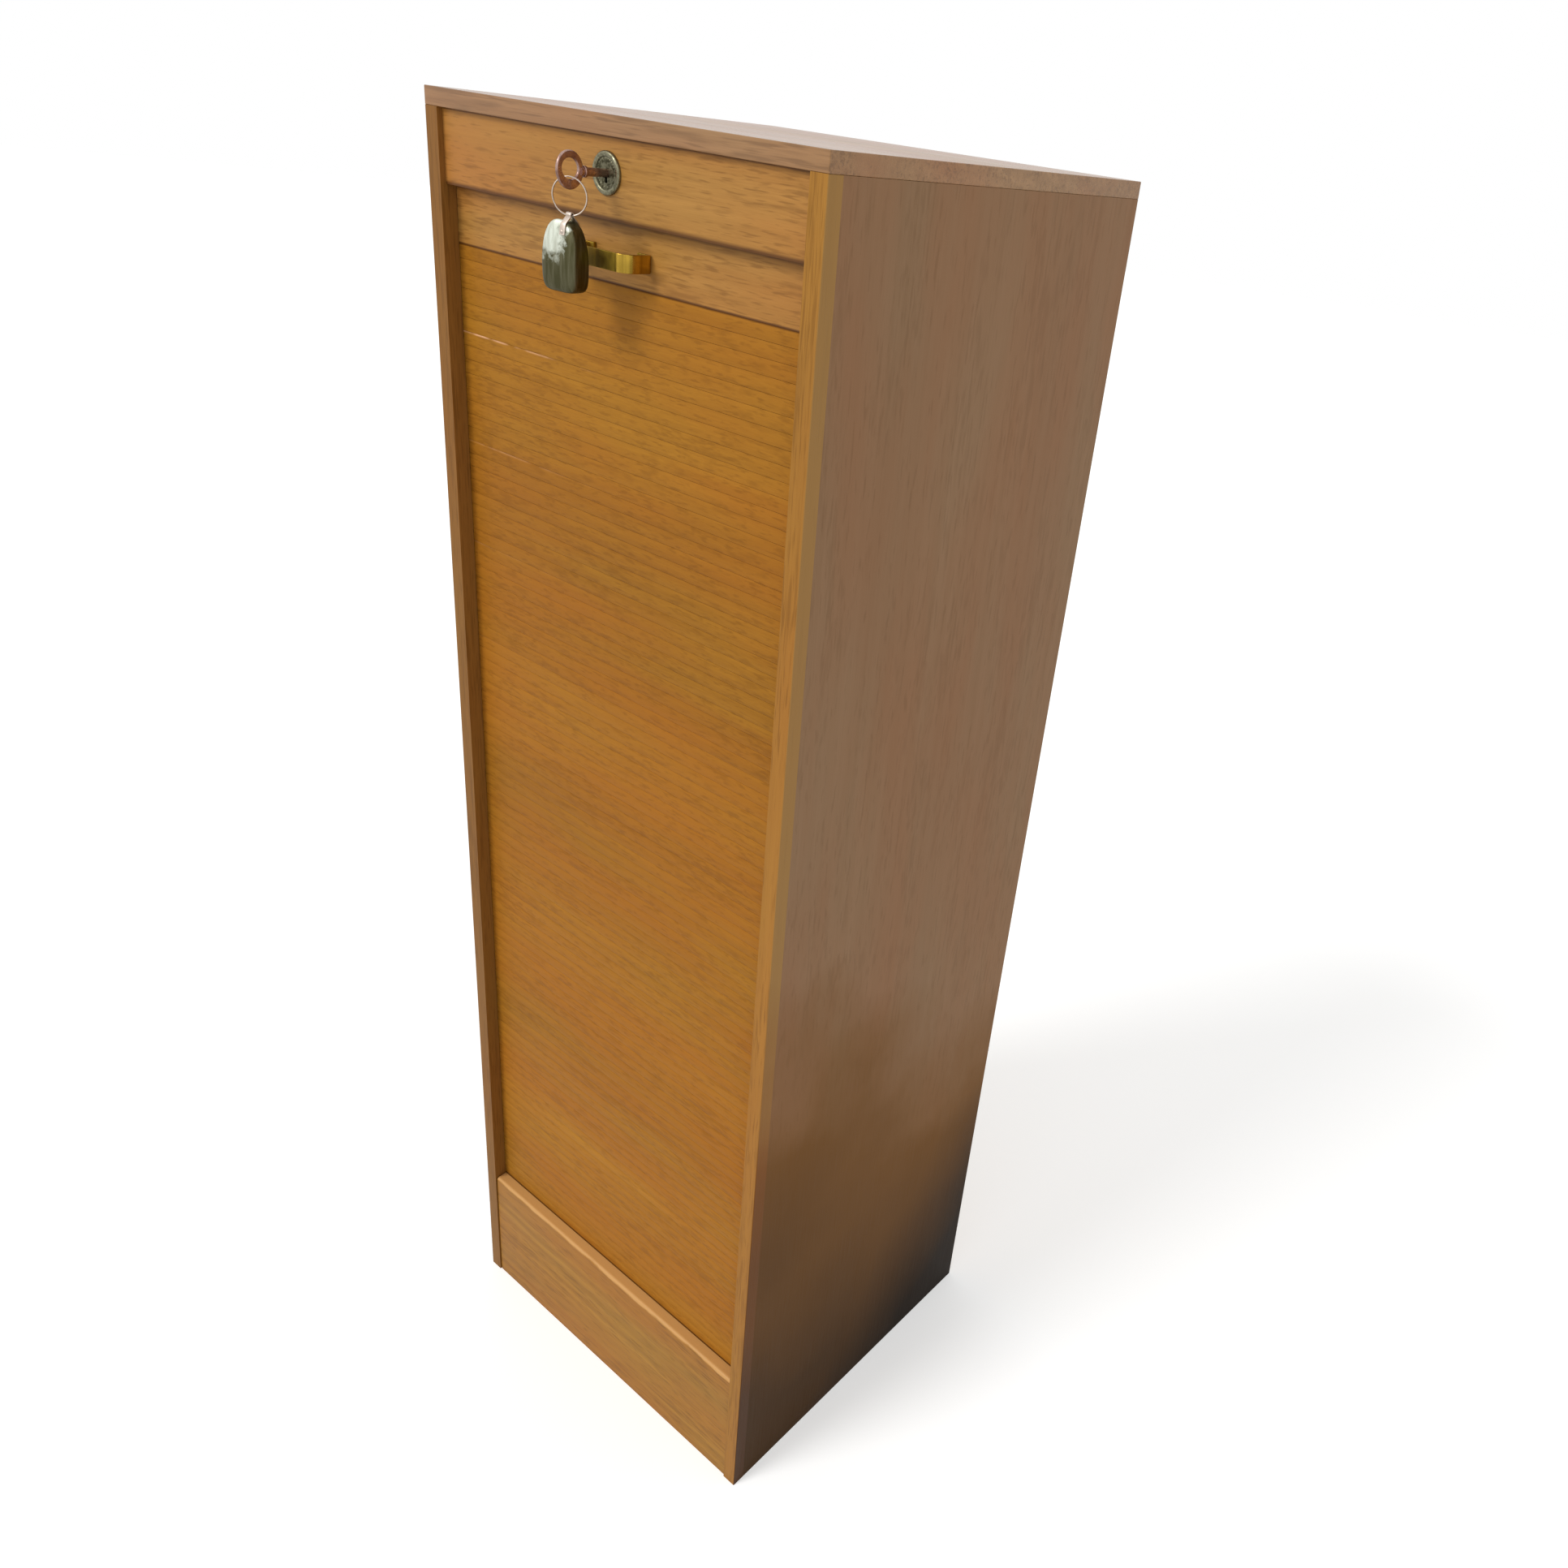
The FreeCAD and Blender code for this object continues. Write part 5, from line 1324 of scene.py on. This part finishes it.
def add_floor(settings):
    """A wide pale floor that shows white, with the cabinet's soft shadow on it."""
    reach = 16.0
    own_light = 0.36
    work = bmesh.new()
    bmesh.ops.create_circle(work, cap_ends=True, segments=64, radius=reach)
    mesh = bpy.data.meshes.new("floor")
    work.to_mesh(mesh)
    work.free()
    material, graph = new_material("floor_white")
    paint = graph.add("ShaderNodeBsdfDiffuse", {"Color": linear(settings.floor)})
    glow = graph.add("ShaderNodeEmission", {"Color": (1, 1, 1, 1), "Strength": own_light})
    bright = graph.add("ShaderNodeAddShader", {0: paint, 1: glow})
    seen = graph.add("ShaderNodeLightPath", output="Is Camera Ray")
    shader = graph.add("ShaderNodeMixShader", {0: seen, 1: paint, 2: bright})
    graph.add("ShaderNodeOutputMaterial", {"Surface": shader})
    mesh.materials.append(material)
    floor = bpy.data.objects.new("floor", mesh)
    bpy.context.scene.collection.objects.link(floor)


def add_sky(context, settings):
    """Even light from all round, which the camera and shiny things see as white."""
    world = bpy.data.worlds.new("studio")
    context.scene.world = world
    world.use_nodes = True
    world.node_tree.nodes.clear()
    graph = Graph(world.node_tree)
    light = graph.add("ShaderNodeBackground", {"Color": (1, 1, 1, 1), "Strength": settings.sky})
    white = graph.add("ShaderNodeBackground", {"Color": (1, 1, 1, 1), "Strength": 1.0})
    rays = graph.tree.nodes.new("ShaderNodeLightPath")
    seen = graph.math("MAXIMUM", rays.outputs["Is Camera Ray"], rays.outputs["Is Glossy Ray"])
    seen = graph.math("MAXIMUM", seen, rays.outputs["Is Transmission Ray"])
    sky = graph.add("ShaderNodeMixShader", {0: seen, 1: light, 2: white})
    graph.add("ShaderNodeOutputWorld", {"Surface": sky})


def add_sun(name, strength, direction, softness):
    """A lamp without fall-off that shines along a direction."""
    lamp = bpy.data.lights.new(name, "SUN")
    lamp.energy = strength
    lamp.angle = math.radians(softness)
    holder = bpy.data.objects.new(name, lamp)
    holder.rotation_euler = direction.to_track_quat("-Z", "Y").to_euler()
    bpy.context.scene.collection.objects.link(holder)


def add_camera(context):
    """The camera that was solved from the photograph's edges of the case."""
    azimuth = math.radians(34.032)
    elevation = math.radians(26.793)
    roll = math.radians(7.891)
    picture = 1932.0
    focal_pixels = 1537.16
    centre_pixels = (1167.24, 939.15)
    stand = Vector((0.8005, -0.8364, 1.3516))
    forward = Vector((
        -math.sin(azimuth) * math.cos(elevation), math.cos(azimuth) * math.cos(elevation),
        -math.sin(elevation)))
    level_right = Vector((math.cos(azimuth), math.sin(azimuth), 0))
    level_up = level_right.cross(forward)
    right = level_right * math.cos(roll) + level_up * math.sin(roll)
    up = level_up * math.cos(roll) - level_right * math.sin(roll)
    lens = bpy.data.cameras.new("camera")
    lens.sensor_width = 36.0
    lens.lens = lens.sensor_width * focal_pixels / picture
    lens.shift_x = 0.5 - centre_pixels[0] / picture
    lens.shift_y = centre_pixels[1] / picture - 0.5
    lens.clip_end = 60.0
    camera = bpy.data.objects.new("camera", lens)
    turn = Matrix((right, up, -forward)).transposed().to_4x4()
    camera.matrix_world = Matrix.Translation(stand) @ turn
    context.scene.collection.objects.link(camera)
    context.scene.camera = camera


OPERATORS = (
    CABINET_OT_case, CABINET_OT_curtain, CABINET_OT_rail, CABINET_OT_lock, CABINET_OT_key,
    CABINET_OT_ring, CABINET_OT_fob, CABINET_OT_trays, CABINET_OT_screws, CABINET_OT_studio)
GROUPS = {
    "cabinet_woods": CabinetWoods,
    "cabinet_metals": CabinetMetals,
    "cabinet_curtain": CabinetCurtain,
    "cabinet_fittings": CabinetFittings,
    "cabinet_fob": CabinetFob,
    "cabinet_studio": CabinetStudio,
}


class CABINET_PT_panel(bpy.types.Panel):
    """Lists the steps that dress the cabinet, and the values that they use"""

    bl_idname = "CABINET_PT_panel"
    bl_label = "Filing Cabinet"
    bl_space_type = "VIEW_3D"
    bl_region_type = "UI"
    bl_category = "Cabinet"

    def draw(self, context):
        for group in GROUPS:
            values = getattr(context.scene, group)
            box = self.layout.box()
            for name in values.bl_rna.properties.keys():
                if name not in ("rna_type", "name"):
                    box.prop(values, name)
        for step in OPERATORS:
            self.layout.operator(step.bl_idname)


def register():
    for group in GROUPS.values():
        bpy.utils.register_class(group)
    for name, group in GROUPS.items():
        setattr(bpy.types.Scene, name, bpy.props.PointerProperty(type=group))
    for step in OPERATORS:
        bpy.utils.register_class(step)
    bpy.utils.register_class(CABINET_PT_panel)


def unregister():
    bpy.utils.unregister_class(CABINET_PT_panel)
    for step in reversed(OPERATORS):
        bpy.utils.unregister_class(step)
    for name in GROUPS:
        delattr(bpy.types.Scene, name)
    for group in reversed(list(GROUPS.values())):
        bpy.utils.unregister_class(group)


def main():
    register()
    for step in OPERATORS:
        group, name = step.bl_idname.split(".")
        if getattr(getattr(bpy.ops, group), name)() != {"FINISHED"}:
            raise RuntimeError(step.bl_label + " was not finished")


if __name__ == "__main__":
    main()
